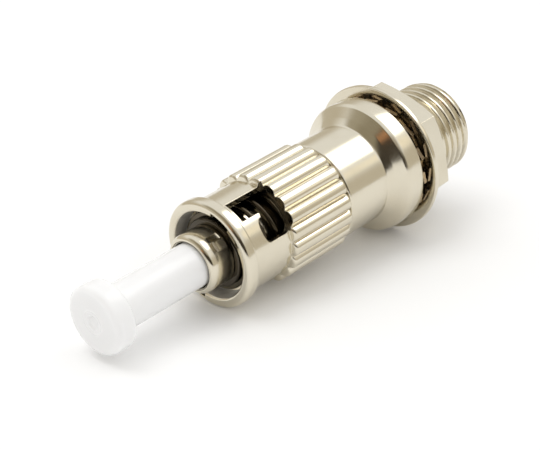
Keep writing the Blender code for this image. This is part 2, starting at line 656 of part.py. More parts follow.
def make_screw_port(nickel, ceramic, frame):
    """Sleeve housing, its retaining ring and the split sleeve."""
    bore = SLEEVE_R + SNUG
    turned("sleeve_housing", [(HOUSING_FRONT, bore), (HOUSING_FRONT, COLLAR_R),
                              (HOUSING_BASE_BACK, COLLAR_R),
                              (HOUSING_BASE_BACK, SLEEVE_HOUSING_R),
                              (SLEEVE_HOUSING_BACK - HOUSING_EDGE, SLEEVE_HOUSING_R),
                              (SLEEVE_HOUSING_BACK, SLEEVE_HOUSING_R - HOUSING_EDGE),
                              (SLEEVE_HOUSING_BACK, SLEEVE_LIP_R + BREAK),
                              (SLEEVE_HOUSING_BACK - BREAK, SLEEVE_LIP_R),
                              (SLEEVE_HOUSING_BACK - SLEEVE_LIP, SLEEVE_LIP_R),
                              (SLEEVE_HOUSING_BACK - SLEEVE_LIP, bore)],
           nickel, frame, HIDDEN_RING)
    turned("housing_retainer", [(RETAINER_FRONT, SLEEVE_HOUSING_R + SNUG),
                                (RETAINER_FRONT, COLLAR_R), (RETAINER_BACK - SEAT, COLLAR_R),
                                (RETAINER_BACK - SEAT, SLEEVE_HOUSING_R + SNUG)],
           nickel, frame, HIDDEN_RING)
    inner = FERRULE_R + SNUG
    half_gap = unroll(SLEEVE_SLIT / 2, SLEEVE_R)
    build = bmesh.new()
    rows = []
    for i in range(HIDDEN_RING + 1):
        angle = KEY_ANGLE + half_gap + (360.0 - 2 * half_gap) * i / HIDDEN_RING
        rows.append([build.verts.new(on_ring(s, r, angle)) for s, r in
                     ((SLEEVE_FRONT, inner), (SLEEVE_FRONT, SLEEVE_R),
                      (SLEEVE_BACK, SLEEVE_R), (SLEEVE_BACK, inner))])
    for first, second in zip(rows, rows[1:]):
        for j in range(4):
            k = (j + 1) % 4
            build.faces.new((first[j], first[k], second[k], second[j]))
    build.faces.new(rows[0])
    build.faces.new(rows[-1])
    new_object("split_sleeve", build, ceramic, frame)


def make_dust_cap(plastic, frame):
    """Dust cap: round head with a gate mark, and a tube over the ferrule."""
    bore = FERRULE_R + SNUG
    blind = FERRULE_FRONT - CAP_END_SPACE
    profile = [(CAP_FRONT + GATE_DEPTH, 0), (CAP_FRONT + GATE_DEPTH, GATE_R - BREAK),
               (CAP_FRONT, GATE_R)]
    profile += arc(CAP_FRONT + CAP_FRONT_EDGE, CAP_HEAD_R - CAP_FRONT_EDGE, CAP_FRONT_EDGE,
                   180, 90)
    profile += arc(CAP_HEAD_BACK - CAP_BACK_EDGE, CAP_HEAD_R - CAP_BACK_EDGE, CAP_BACK_EDGE,
                   90, 0, 3)
    profile += arc(CAP_HEAD_BACK + CAP_NECK, CAP_TUBE_R + CAP_NECK, CAP_NECK, 180, 270, 3)
    profile += [(CAP_BACK - BREAK, CAP_TUBE_R), (CAP_BACK, CAP_TUBE_R - BREAK),
                (CAP_BACK, bore + BREAK), (CAP_BACK - BREAK, bore), (blind, bore), (blind, 0)]
    turned("dust_cap", profile, plastic, frame, FINE_RING)


def lying_frame():
    """Empty on the adapter's axis, tilted so that it lies on its two rims.

    The rims of the coupling nut's lip and of the flat washer carry it. The
    origin is the centre of the bounding box's base.
    """
    lip_s = NUT_FRONT + LIP_EDGE
    rim_s = FLAT_WASHER_FRONT + FLAT_WASHER_EDGE
    rim_r = FLAT_WASHER_R * math.cos(math.pi / RING)
    tilt = math.atan2(rim_r - LIP_R, rim_s - lip_s)
    height = LIP_R * math.cos(tilt) - lip_s * math.sin(tilt)
    low_x = CAP_FRONT * math.cos(tilt) - (CAP_HEAD_R - CAP_FRONT_EDGE) * math.sin(tilt)
    high_x = THREAD_BACK * math.cos(tilt) + (THREAD_R - THREAD_CHAMFER) * math.sin(tilt)
    frame = bpy.data.objects.new("adapter_axis", None)
    frame.location = Vector((-(low_x + high_x) / 2, 0, height)) * MM
    frame.rotation_euler = (0, -tilt, 0)
    bpy.context.scene.collection.objects.link(frame)
    return frame


def main():
    """Build every piece of the adapter."""
    for old in list(bpy.data.objects):
        bpy.data.objects.remove(old, do_unlink=True)
    nickel = material("nickel_plate", (0.72, 0.69, 0.62), 0.2, 1.0)
    steel = material("spring_steel", (0.6, 0.56, 0.5), 0.25, 1.0)
    ceramic = material("white_ceramic", (0.9, 0.89, 0.86), 0.15)
    plastic = material("milky_plastic", (0.86, 0.86, 0.86), 0.4)
    frame = lying_frame()
    make_ferrule(ceramic, frame)
    make_holder(nickel, frame)
    make_collar(nickel, frame)
    make_clip(steel, frame)
    make_spring_washers(steel, frame)
    make_spring(steel, frame)
    make_coupling_nut(nickel, frame)
    make_body(nickel, frame)
    make_lock_washer(steel, frame)
    make_flat_washer(nickel, frame)
    make_hex_nut(nickel, frame)
    make_screw_port(nickel, ceramic, frame)
    make_dust_cap(plastic, frame)
    bpy.context.view_layer.update()


main()
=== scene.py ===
"""Looks of a plated bulkhead fibre adapter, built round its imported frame.

The adapter is a turned part, so almost every piece is a profile turned about
one axis. Lengths are in millimetres. A station is a length along that axis,
from 0 at the back edge of the coupling nut's lip, growing towards the threaded
port. An angle is in degrees round the axis, from the top towards -Y.
"""
from __future__ import annotations

import json
import logging
import math
from dataclasses import dataclass, field, replace
from enum import Enum
from typing import Any, Iterable, Sequence

import bmesh
import bpy
from mathutils import Matrix, Vector

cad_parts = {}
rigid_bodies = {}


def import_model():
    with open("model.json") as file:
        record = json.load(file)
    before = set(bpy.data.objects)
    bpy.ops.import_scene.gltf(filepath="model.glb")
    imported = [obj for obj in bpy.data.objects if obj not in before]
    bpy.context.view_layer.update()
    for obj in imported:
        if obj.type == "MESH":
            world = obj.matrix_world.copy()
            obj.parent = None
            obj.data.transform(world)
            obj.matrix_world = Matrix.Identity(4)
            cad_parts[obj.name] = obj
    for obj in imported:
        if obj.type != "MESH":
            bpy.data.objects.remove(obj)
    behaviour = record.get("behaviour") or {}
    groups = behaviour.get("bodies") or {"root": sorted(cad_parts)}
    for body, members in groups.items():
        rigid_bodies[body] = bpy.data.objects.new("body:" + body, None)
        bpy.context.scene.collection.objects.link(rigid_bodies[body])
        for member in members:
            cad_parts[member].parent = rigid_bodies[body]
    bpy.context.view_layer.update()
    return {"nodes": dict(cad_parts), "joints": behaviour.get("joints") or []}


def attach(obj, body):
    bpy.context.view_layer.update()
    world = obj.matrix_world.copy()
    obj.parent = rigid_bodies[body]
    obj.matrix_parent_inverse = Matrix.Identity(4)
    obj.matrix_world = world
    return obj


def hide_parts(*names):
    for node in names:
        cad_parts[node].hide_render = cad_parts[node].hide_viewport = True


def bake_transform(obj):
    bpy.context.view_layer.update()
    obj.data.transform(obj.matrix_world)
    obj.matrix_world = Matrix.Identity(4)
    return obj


LOG = logging.getLogger("adapter")

MM = 0.001
SHARP_DEGREES = 32.0
ARC_STEP_DEGREES = 11.0

Corner = tuple[float, float, float]
Point = tuple[float, float]
Colour = tuple[float, float, float]


class Body(Enum):
    """The rigid bodies that the pieces ride on."""

    ADAPTER = "adapter"
    SPRING_FOLLOWER = "spring_follower"
    COUPLING_NUT = "coupling_nut"
    WASHERS = "washers"
    HEX_NUT = "hex_nut"
    DUST_CAP = "dust_cap"


class Slot(Enum):
    """The record's material slots."""

    NICKEL = "nickel_plate"
    STEEL = "spring_steel"
    CERAMIC = "white_ceramic"
    PLASTIC = "milky_plastic"


class Wire:
    """A node's output, or a plain number, with arithmetic that adds Math nodes."""

    def __init__(self, graph: Graph, value: Any) -> None:
        """Wrap a graph's output socket, or a number."""
        self.graph = graph
        self.value = value

    def math(self, operation: str, *others: Wire | float, clamp: bool = False) -> Wire:
        """Math node on this and further inputs, where clamp keeps it from 0 to 1."""
        return self.graph.wire("ShaderNodeMath", 0, {"operation": operation, "use_clamp": clamp},
                               {0: self, **dict(enumerate(others, 1))})

    def __add__(self, other: Wire | float) -> Wire:
        """Sum."""
        return self.math("ADD", other)

    def __sub__(self, other: Wire | float) -> Wire:
        """Difference."""
        return self.math("SUBTRACT", other)

    def __rsub__(self, other: float) -> Wire:
        """Difference with a number on the left."""
        return Wire(self.graph, other).math("SUBTRACT", self)

    def __mul__(self, other: Wire | float) -> Wire:
        """Product."""
        return self.math("MULTIPLY", other)

    def __truediv__(self, other: Wire | float) -> Wire:
        """Quotient."""
        return self.math("DIVIDE", other)

    def __pow__(self, other: Wire | float) -> Wire:
        """Power."""
        return self.math("POWER", other)

    def __gt__(self, other: Wire | float) -> Wire:
        """1 where this is greater, else 0."""
        return self.math("GREATER_THAN", other)

    __radd__ = __add__
    __rmul__ = __mul__

    def clamp(self) -> Wire:
        """This value, kept from 0 to 1."""
        return self.math("ADD", 0.0, clamp=True)

    def ramp(self, low: float, high: float) -> Wire:
        """Smooth step from 0 at low to 1 at high."""
        span = ((self - low) / (high - low)).clamp()
        return span * span * (3.0 - 2.0 * span)


class Graph:
    """A node tree, with one way to add a node."""

    def __init__(self, tree: bpy.types.NodeTree) -> None:
        """Wrap a node tree."""
        self.tree = tree

    def fill(self, node: bpy.types.Node, inputs: dict[int | str, Any]) -> None:
        """Set or link a node's inputs.

        Args:
            node: The node.
            inputs: Values or links of its sockets, by index or name.
        """
        for key, value in inputs.items():
            socket = node.inputs[key]
            if isinstance(value, Wire):
                value = value.value
            if isinstance(value, bpy.types.NodeSocket):
                self.tree.links.new(value, socket)
            elif isinstance(value, tuple) and socket.type == "RGBA":
                socket.default_value = (*value, 1.0)
            else:
                socket.default_value = value

    def node(self, kind: str, settings: dict[str, Any] | None = None,
             inputs: dict[int | str, Any] | None = None) -> bpy.types.Node:
        """Add one node.

        Args:
            kind: The node's type.
            settings: Its properties, set first.
            inputs: Values or links of its sockets, by index or name.

        Returns:
            The node.
        """
        made = self.tree.nodes.new(kind)
        for name, value in (settings or {}).items():
            setattr(made, name, value)
        self.fill(made, inputs or {})
        return made

    def wire(self, kind: str, output: int | str = 0, settings: dict[str, Any] | None = None,
             inputs: dict[int | str, Any] | None = None) -> Wire:
        """Add one node, as node does, and return one of its outputs."""
        return Wire(self, self.node(kind, settings, inputs).outputs[output])

    def vector(self, x: Any, y: Any, z: Any) -> Wire:
        """Vector with these three parts."""
        return self.wire("ShaderNodeCombineXYZ", inputs={0: x, 1: y, 2: z})

    def parts(self, vector: Wire) -> list[Wire]:
        """The three parts of a vector."""
        split = self.node("ShaderNodeSeparateXYZ", inputs={0: vector})
        return [Wire(self, output) for output in split.outputs]

    def measure(self, place: Wire) -> tuple[Wire, Wire, Wire, Wire]:
        """A place's station, y, z and radius, in millimetres."""
        station, y, z = (part / MM for part in self.parts(place))
        return station, y, z, (y * y + z * z) ** 0.5

    def mix_colour(self, factor: Wire | float, first: Any, second: Any) -> Wire:
        """Mix a first colour with a share of a second one."""
        return self.wire("ShaderNodeMix", 2, {"data_type": "RGBA"},
                         {0: factor, 6: first, 7: second})

    def noise(self, place: Wire, scale: float, detail: float) -> Wire:
        """Noise around 0.5, read at a place."""
        return self.wire("ShaderNodeTexNoise", 0, {"noise_dimensions": "3D"},
                         {"Vector": place, "Scale": scale, "Detail": detail, "Roughness": 0.55})

    def bump(self, height: Wire, **normal: Wire) -> Wire:
        """Normal of a relief whose height is in millimetres."""
        return self.wire("ShaderNodeBump", inputs={
            "Strength": 1.0, "Distance": MM, "Height": height, **normal})


@dataclass(frozen=True)
class AdapterAxis:
    """The adapter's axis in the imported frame.

    Attributes:
        origin: Where station 0 lies, in metres.
        direction: Unit vector along growing stations.
    """

    origin: Vector
    direction: Vector

    @classmethod
    def from_joints(cls, joints: Iterable[dict[str, Any]], joint: str,
                    station: float) -> AdapterAxis:
        """Read the axis from a packed hinge.

        Args:
            joints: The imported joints.
            joint: The hinge's name.
            station: The station of the hinge's position.

        Returns:
            The axis.
        """
        found = next(j for j in joints if j["name"] == joint)
        direction = Vector(found["axis"]).normalized()
        return cls(Vector(found["pos_m"]) - direction * station * MM, direction)

    @property
    def tilt(self) -> float:
        """Rise of the axis over the floor, in radians."""
        return math.asin(self.direction.z)

    @property
    def matrix(self) -> Matrix:
        """Matrix from the axis's own frame, in metres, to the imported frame."""
        return Matrix.Translation(self.origin) @ Matrix.Rotation(-self.tilt, 4, "Y")

    def at(self, station: float) -> Vector:
        """Point of the axis at a station."""
        return self.origin + self.direction * station * MM


def on_ring(station: float, radius: float, angle: float) -> Vector:
    """Point of the axis's own frame, in metres, at a station, radius and angle."""
    turn = math.radians(angle)
    return Vector((station, -radius * math.sin(turn), radius * math.cos(turn))) * MM


def rounded(corners: Sequence[Corner], closed: bool = True) -> list[Point]:
    """Round the corners of an outline.

    Args:
        corners: (station, radius, fillet) for each corner.
        closed: Whether the last corner joins the first.

    Returns:
        The outline's (station, radius) points.
    """
    points: list[Point] = []
    count = len(corners)
    for i, (station, radius, fillet) in enumerate(corners):
        here = Vector((station, radius))
        at_end = not closed and i in (0, count - 1)
        if fillet <= 0 or at_end:
            points.append((station, radius))
            continue
        before = (Vector(corners[i - 1][:2]) - here).normalized()
        after = (Vector(corners[(i + 1) % count][:2]) - here).normalized()
        inside = math.acos(max(-1.0, min(1.0, before.dot(after))))
        reach = fillet / math.tan(inside / 2)
        centre = here + (before + after).normalized() * fillet / math.sin(inside / 2)
        start = here + before * reach - centre
        swept = math.pi - inside
        sign = 1.0 if start.x * (after.y - before.y) - start.y * (after.x - before.x) > 0 else -1.0
        steps = max(1, math.ceil(math.degrees(swept) / ARC_STEP_DEGREES))
        for k in range(steps + 1):
            turn = sign * swept * k / steps
            cos, sin = math.cos(turn), math.sin(turn)
            points.append((centre.x + start.x * cos - start.y * sin,
                           centre.y + start.x * sin + start.y * cos))
    return points


def ring(front: float, back: float, inner: float, outer: float,
         inner_edge: float, outer_edge: float) -> list[Point]:
    """Section of a ring between two stations and two radii, with rounded edges."""
    return rounded([(front, inner, inner_edge), (front, outer, outer_edge),
                    (back, outer, outer_edge), (back, inner, inner_edge)])


def add_object(name: str, data: Any) -> bpy.types.Object:
    """Put a new object into the scene.

    Args:
        name: Its name.
        data: Its mesh, lamp or camera.

    Returns:
        The object.
    """
    made = bpy.data.objects.new(name, data)
    bpy.context.scene.collection.objects.link(made)
    return made


def spread(points: Sequence[Point], step: float) -> list[Point]:
    """Add points along the straight runs of an outline.

    Args:
        points: The outline's points, in order.
        step: Longest run left between two points.

    Returns:
        The outline with the added points.
    """
    made: list[Point] = []
    for (s0, r0), (s1, r1) in zip(points, points[1:]):
        pieces = max(1, math.ceil(math.hypot(s1 - s0, r1 - r0) / step))
        made += [(s0 + (s1 - s0) * k / pieces, r0 + (r1 - r0) * k / pieces) for k in range(pieces)]
    return made + [points[-1]]


def lathe(outline: Sequence[Point], columns: int, phase: float = 0.0) -> bmesh.types.BMesh:
    """Turn an outline about the axis.

    Args:
        outline: (station, radius) points. It closes on itself, or on the axis
            where it starts and ends at radius 0.
        columns: Number of vertices round the axis.
        phase: Angle of the first vertex.

    Returns:
        The turned solid.
    """
    build = bmesh.new()
    rows = []
    for station, radius in outline:
        if radius == 0:
            rows.append([build.verts.new(on_ring(station, 0, 0))])
            continue
        rows.append([build.verts.new(on_ring(station, radius, phase + 360.0 * j / columns))
                     for j in range(columns)])
    on_axis = len(rows[0]) == 1
    for i in range(len(rows) - 1 if on_axis else len(rows)):
        first, second = rows[i], rows[(i + 1) % len(rows)]
        for j in range(columns):
            k = (j + 1) % columns
            if len(first) == 1:
                build.faces.new((first[0], second[j], second[k]))
            elif len(second) == 1:
                build.faces.new((first[j], second[0], first[k]))
            else:
                build.faces.new((first[j], second[j], second[k], first[k]))
    return build


def swept_arc(section: Sequence[Point], start: float, span: float,
              columns: int) -> bmesh.types.BMesh:
    """Sweep a closed section round part of a turn, with closed ends.

    Args:
        section: (station, radius) points.
        start: First angle.
        span: Angle swept.
        columns: Number of steps.

    Returns:
        The swept solid.
    """
    build = bmesh.new()
    rows = [[build.verts.new(on_ring(s, r, start + span * i / columns)) for s, r in section]
            for i in range(columns + 1)]
    count = len(section)
    for first, second in zip(rows, rows[1:]):
        for j in range(count):
            k = (j + 1) % count
            build.faces.new((first[j], first[k], second[k], second[j]))
    build.faces.new(rows[0])
    build.faces.new(rows[-1])
    return build


def prism(outline: Sequence[Point], inner: float, outer: float) -> bmesh.types.BMesh:
    """Solid between two radii whose sides stand on (station, angle) points.

    Args:
        outline: The outline's (station, angle) points.
        inner: Radius of its inner face.
        outer: Radius of its outer face.

    Returns:
        The solid.
    """
    build = bmesh.new()
    low = [build.verts.new(on_ring(s, inner, a)) for s, a in outline]
    high = [build.verts.new(on_ring(s, outer, a)) for s, a in outline]
    for i in range(len(outline)):
        j = (i + 1) % len(outline)
        build.faces.new((low[i], low[j], high[j], high[i]))
    caps = [build.faces.new(low), build.faces.new(high)]
    bmesh.ops.triangulate(build, faces=caps)
    return build


def bar(station: float, length: float, angle: float, width: float,
        inner: float, outer: float) -> bmesh.types.BMesh:
    """Straight-sided bar that stands out radially.

    Args:
        station: Where it starts.
        length: Its length along the axis.
        angle: The angle that it stands at.
        width: Its width.
        inner: Radius of its foot.
        outer: Radius of its top.

    Returns:
        The bar.
    """
    build = bmesh.new()
    bmesh.ops.create_cube(build, size=1.0)
    middle = Vector((station + length / 2, 0, (inner + outer) / 2)) * MM
    size = Matrix.Diagonal((length * MM, width * MM, (outer - inner) * MM, 1.0))
    build.transform(Matrix.Rotation(math.radians(angle), 4, "X") @ Matrix.Translation(middle) @ size)
    return build


class Workshop:
    """Makes objects on the adapter's axis and hands them to the frame."""

    def __init__(self, axis: AdapterAxis, finishes: Finishes,
                 nodes: dict[str, bpy.types.Object]) -> None:
        """Set up the workshop.

        Args:
            axis: The adapter's axis.
            finishes: The materials.
            nodes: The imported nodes.
        """
        self.axis = axis
        self.finishes = finishes
        self.nodes = nodes

    def solid(self, name: str, build: bmesh.types.BMesh) -> bpy.types.Object:
        """Make an object in the axis's own frame from a bmesh.

        Args:
            name: The object's name.
            build: Its shape, which is freed.

        Returns:
            The object, with its faces pointing out.
        """
        bmesh.ops.remove_doubles(build, verts=build.verts, dist=1e-7)
        bmesh.ops.recalc_face_normals(build, faces=build.faces)
        mesh = bpy.data.meshes.new(name)
        build.to_mesh(mesh)
        build.free()
        return add_object(name, mesh)

    def cut(self, target: bpy.types.Object, cutters: Sequence[bmesh.types.BMesh],
            operation: str = "DIFFERENCE") -> None:
        """Apply exact Booleans to an object.

        Args:
            target: The object that is cut.
            cutters: The solids that cut it, one after the other.
            operation: The Boolean's operation.
        """
        guides = [self.solid(f"{target.name}_guide_{i}", c) for i, c in enumerate(cutters)]
        for guide in guides:
            step = target.modifiers.new(guide.name, "BOOLEAN")
            step.operation = operation
            step.solver = "EXACT"
            step.object = guide
        self.bake(target)
        for guide in guides:
            bpy.data.objects.remove(guide, do_unlink=True)

    @staticmethod
    def bake(target: bpy.types.Object) -> None:
        """Turn an object's modifiers into plain mesh.

        Args:
            target: The object.
        """
        bpy.context.view_layer.update()
        graph = bpy.context.evaluated_depsgraph_get()
        made = bpy.data.meshes.new_from_object(target.evaluated_get(graph))
        target.modifiers.clear()
        old = target.data
        target.data = made
        bpy.data.meshes.remove(old)

    def deliver(self, made: bpy.types.Object, finish: bpy.types.Material, body: Body,
                node: str) -> None:
        """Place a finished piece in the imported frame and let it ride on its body.

        Args:
            made: The object in the axis's own frame.
            finish: Its material.
            body: The body that it rides on.
            node: The CAD node that it stands for.
        """
        self.place(made, finish)
        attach(made, body.value)
        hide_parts(node)
        LOG.info("%s: %d faces on %s", made.name, len(made.data.polygons), body.value)

    def turn(self, name: str, outline: Sequence[Point], columns: int, finish: bpy.types.Material,
             body: Body, slot: Slot, node: str) -> None:
        """Turn an outline with so many columns and deliver it as a piece."""
        self.deliver(self.solid(name, lathe(outline, columns)), finish, body, node)

    def place(self, made: bpy.types.Object, finish: bpy.types.Material) -> None:
        """Move a mesh to its place, shade it smooth and give it its material.

        Args:
            made: The object in the axis's own frame.
            finish: Its material.
        """
        mesh = made.data
        mesh.transform(self.axis.matrix)
        mesh.materials.clear()
        mesh.materials.append(finish)
        for polygon in mesh.polygons:
            polygon.material_index = 0
        mesh.shade_smooth()
        mesh.set_sharp_from_angle(angle=math.radians(SHARP_DEGREES))


class GeometryTree:
    """A Geometry Nodes tree with named inputs for its sizes."""

    def __init__(self, name: str, sizes: dict[str, float]) -> None:
        """Start a tree.

        Args:
            name: The tree's name.
            sizes: Its named number inputs.
        """
        self.tree = bpy.data.node_groups.new(name, "GeometryNodeTree")
        face = self.tree.interface
        face.new_socket("Geometry", in_out="INPUT", socket_type="NodeSocketGeometry")
        face.new_socket("Geometry", in_out="OUTPUT", socket_type="NodeSocketGeometry")
        self.keys = {n: face.new_socket(n, in_out="INPUT", socket_type="NodeSocketFloat").identifier
                     for n in sizes}
        self.sizes = sizes
        self.graph = Graph(self.tree)
        self.entry = self.graph.node("NodeGroupInput")

    def inputs(self) -> list[Wire]:
        """The tree's named inputs, in the order of its sizes."""
        return [Wire(self.graph, self.entry.outputs[name]) for name in self.sizes]

    @property
    def geometry(self) -> Wire:
        """The geometry that comes in."""
        return Wire(self.graph, self.entry.outputs["Geometry"])

    def position(self) -> tuple[Wire, Wire, Wire, Wire]:
        """A point's station, y, z and radius, in millimetres."""
        return self.graph.measure(self.graph.wire("GeometryNodeInputPosition"))

    def angle(self, y: Wire, z: Wire) -> Wire:
        """Turns round the axis, from the top towards -Y."""
        return (0.0 - y).math("ARCTAN2", z) / math.tau

    def regrow(self, station: Wire, y: Wire, z: Wire, share: Wire) -> Wire:
        """The geometry that comes in, with its radius multiplied by a share."""
        place = self.graph.vector(station * MM, y * share * MM, z * share * MM)
        return self.graph.wire("GeometryNodeSetPosition",
                               inputs={"Geometry": self.geometry, "Position": place})

    def close(self, geometry: Any, finish: bpy.types.Material) -> None:
        """End the tree in realized instances with a material.

        Args:
            geometry: The geometry that goes out.
            finish: Its material.
        """
        real = self.graph.wire("GeometryNodeRealizeInstances", inputs={0: geometry})
        made = self.graph.wire("GeometryNodeSetMaterial",
                               inputs={"Geometry": real, "Material": finish})
        self.graph.node("NodeGroupOutput", inputs={0: made})

    def run(self, target: bpy.types.Object) -> None:
        """Run the tree on an object and leave a plain mesh.

        Args:
            target: The object.
        """
        step = target.modifiers.new(self.tree.name, "NODES")
        step.node_group = self.tree
        for name, value in self.sizes.items():
            step[self.keys[name]] = float(value)
        Workshop.bake(target)


@dataclass(frozen=True)
class Finish:
    """A finish whose texture is fixed to the adapter's axis.

    Attributes:
        name: The material's name.
        colour: Its clean colour.
    """

    name: str
    colour: Colour

    def look(self, graph: Graph, place: Wire) -> dict[str, Any]:
        """Inputs of the Principled node by name, which each finish makes itself."""
        raise NotImplementedError

    def make(self, axis: AdapterAxis) -> bpy.types.Material:
        """Build the material.

        Args:
            axis: The axis that its marks run round.

        Returns:
            The material.
        """
        made, graph, shader = new_material(self.name)
        place = graph.wire("ShaderNodeMapping", 0, {"vector_type": "TEXTURE"}, {
            "Vector": graph.wire("ShaderNodeTexCoord", "Object"),
            "Location": tuple(axis.origin), "Rotation": (0.0, -axis.tilt, 0.0)})
        graph.fill(shader, self.look(graph, place))
        return made


@dataclass(frozen=True)
class PlatedMetal(Finish):
    """Bright plating over a turned part.

    Attributes:
        shade: Colour of its duller patches.
        roughness: Mean roughness.
        mottle: How far the roughness varies.
        line_height: Depth of the turning marks, in millimetres.
        line_pitch: Turning marks for each millimetre of the axis.
        patch_scale: Scale of the duller patches.
        patch_fade: Noise values between which a patch sets in.
        patch_share: How far a patch takes its colour.
        grain_scale: Scale of the fine grain.
        edge: Radius of the broken edges, in millimetres.
        grain: Height of the plating's fine grain, in millimetres.
        inside: Radius below which the part takes a painted lighter colour and more roughness, in
            millimetres.
        inside_fade: Radius over which that inside finish fades out.
        inside_end: Station where that inside finish ends.
        end_fade: Length over which it fades out there, to each side.
        bare: Lighter colour of the inside: painted light.
        bare_roughness: What the inside finish adds to the roughness.
    """

    shade: Colour
    roughness: float = 0.16
    mottle: float = 0.08
    line_height: float = 0.0004
    line_pitch: float = 14.0
    patch_scale: float = 260.0
    patch_fade: tuple[float, float] = (0.46, 0.7)
    patch_share: float = 0.55
    grain_scale: float = 5200.0
    edge: float = 0.05
    grain: float = 0.00025
    inside: float = 0.0
    inside_fade: float = 0.12
    inside_end: float = 0.3
    end_fade: float = 0.1
    bare: Colour = (0.82, 0.81, 0.78)
    bare_roughness: float = 0.36

    def look(self, graph: Graph, place: Wire) -> dict[str, Any]:
        """Inputs of the Principled node.

        Args:
            graph: The material's graph.
            place: The point in the axis's own frame, in metres.

        Returns:
            Values and wires by the input's name.
        """
        station, _, _, radius = graph.measure(place)
        marks = graph.vector(station * self.line_pitch, radius * self.line_pitch, 0.0)
        lines = graph.noise(marks, 1.0, 3.0)
        patches = graph.noise(place, self.patch_scale, 4.0)
        fine = graph.noise(place, self.grain_scale, 2.0)
        colour = graph.mix_colour(patches.ramp(*self.patch_fade) * self.patch_share,
                                  self.colour, self.shade)
        rough = self.roughness + (patches - 0.5) * self.mottle * 2.0 + (fine - 0.5) * self.mottle
        # Painted light: below the inside radius and ahead of the end station the colour is lighter; the
        # roughness rises there too.
        if self.inside:
            painted_inside_mask = ((1.0 - radius.ramp(self.inside, self.inside + self.inside_fade))
                      * (1.0 - station.ramp(self.inside_end - self.end_fade,
                                            self.inside_end + self.end_fade)))
            colour = graph.mix_colour(painted_inside_mask, colour, self.bare)
            rough = rough + painted_inside_mask * self.bare_roughness
        edge = graph.wire("ShaderNodeBevel", 0, {"samples": 6}, {"Radius": self.edge * MM})
        bump = graph.bump(lines * self.line_height + fine * self.grain, Normal=edge)
        return {"Base Color": colour, "Roughness": rough.clamp(), "Metallic": 1.0, "Normal": bump}


@dataclass(frozen=True)
class Translucent(Finish):
    """Smooth finish that lets light in, with faint clouds.

    Attributes:
        roughness: Mean roughness.
        mottle: How far the clouds vary the roughness.
        weight: Share of the light that travels inside.
        depth: How far light travels in it, in millimetres.
        shade: Share of its colour that the clouds keep.
        cloud_scale: Scale of the clouds.
        cloud_fade: Noise values between which a cloud sets in.
        cloud_share: How far a cloud counts.
    """

    roughness: float = 0.12
    mottle: float = 0.1
    weight: float = 0.2
    depth: float = 0.4
    shade: float = 0.95
    cloud_scale: float = 420.0
    cloud_fade: tuple[float, float] = (0.4, 0.7)
    cloud_share: float = 0.4

    def cloud(self, graph: Graph, place: Wire) -> Wire:
        """Noise of the clouds at a place."""
        return graph.noise(place, self.cloud_scale, 3.0)

    def look(self, graph: Graph, place: Wire) -> dict[str, Any]:
        """Inputs of the Principled node.

        Args:
            graph: The material's graph.
            place: The point in the axis's own frame, in metres.

        Returns:
            Values and wires by the input's name.
        """
        cloud = self.cloud(graph, place)
        colour = graph.mix_colour(cloud.ramp(*self.cloud_fade) * self.cloud_share, self.colour,
                                  tuple(c * self.shade for c in self.colour))
        return {"Base Color": colour,
                "Roughness": (self.roughness + (cloud - 0.5) * self.mottle).clamp(),
                "Subsurface Weight": self.weight, "Subsurface Scale": self.depth * MM}


@dataclass(frozen=True)
class MilkyPlastic(Translucent):
    """Translucent moulded plastic with a few specks.

    Attributes:
        refraction: Its index of refraction.
        speck: Colour of the specks.
        speck_share: How far a speck takes its colour.
        speck_scale: Scale of the cells that may each hold a speck.
        speck_edge: Distances from a cell's point over which a speck fades out.
        pick_scale: Scale of the noise that picks the cells.
        pick_fade: Noise values between which a cell is picked.
        grain_scale: Scale of the fine grain.
        relief: Heights of the clouds and of the grain, in millimetres.
    """

    roughness: float = 0.2
    mottle: float = 0.16
    weight: float = 1.0
    shade: float = 0.985
    cloud_scale: float = 300.0
    cloud_fade: tuple[float, float] = (0.35, 0.7)
    cloud_share: float = 0.5
    refraction: float = 1.5
    speck: Colour = (0.72, 0.66, 0.5)
    speck_share: float = 0.6
    speck_scale: float = 150.0
    speck_edge: tuple[float, float] = (0.012, 0.03)
    pick_scale: float = 90.0
    pick_fade: tuple[float, float] = (0.6, 0.66)
    grain_scale: float = 2600.0
    relief: tuple[float, float] = (0.0015, 0.0003)

    def look(self, graph: Graph, place: Wire) -> dict[str, Any]:
        """Inputs of the Principled node.

        Args:
            graph: The material's graph.
            place: The point in the axis's own frame, in metres.

        Returns:
            Values and wires by the input's name.
        """
        inputs = super().look(graph, place)
        cells = graph.wire("ShaderNodeTexVoronoi", "Distance", {"feature": "F1"},
                           {"Vector": place, "Scale": self.speck_scale, "Randomness": 1.0})
        pick = graph.noise(place, self.pick_scale, 0.0)
        speck = (1.0 - cells.ramp(*self.speck_edge)) * pick.ramp(*self.pick_fade)
        grain = graph.noise(place, self.grain_scale, 2.0)
        relief = self.cloud(graph, place) * self.relief[0] + grain * self.relief[1]
        return {**inputs, "IOR": self.refraction, "Subsurface Radius": (1.0, 1.0, 1.0),
                "Base Color": graph.mix_colour(speck * self.speck_share, inputs["Base Color"],
                                               self.speck),
                "Normal": graph.bump(relief)}


def new_material(name: str) -> tuple[bpy.types.Material, Graph, bpy.types.Node]:
    """Start a material.

    Args:
        name: Its name.

    Returns:
        The material, its graph and its Principled node.
    """
    made = bpy.data.materials.new(name)
    made.use_nodes = True
    return made, Graph(made.node_tree), made.node_tree.nodes["Principled BSDF"]


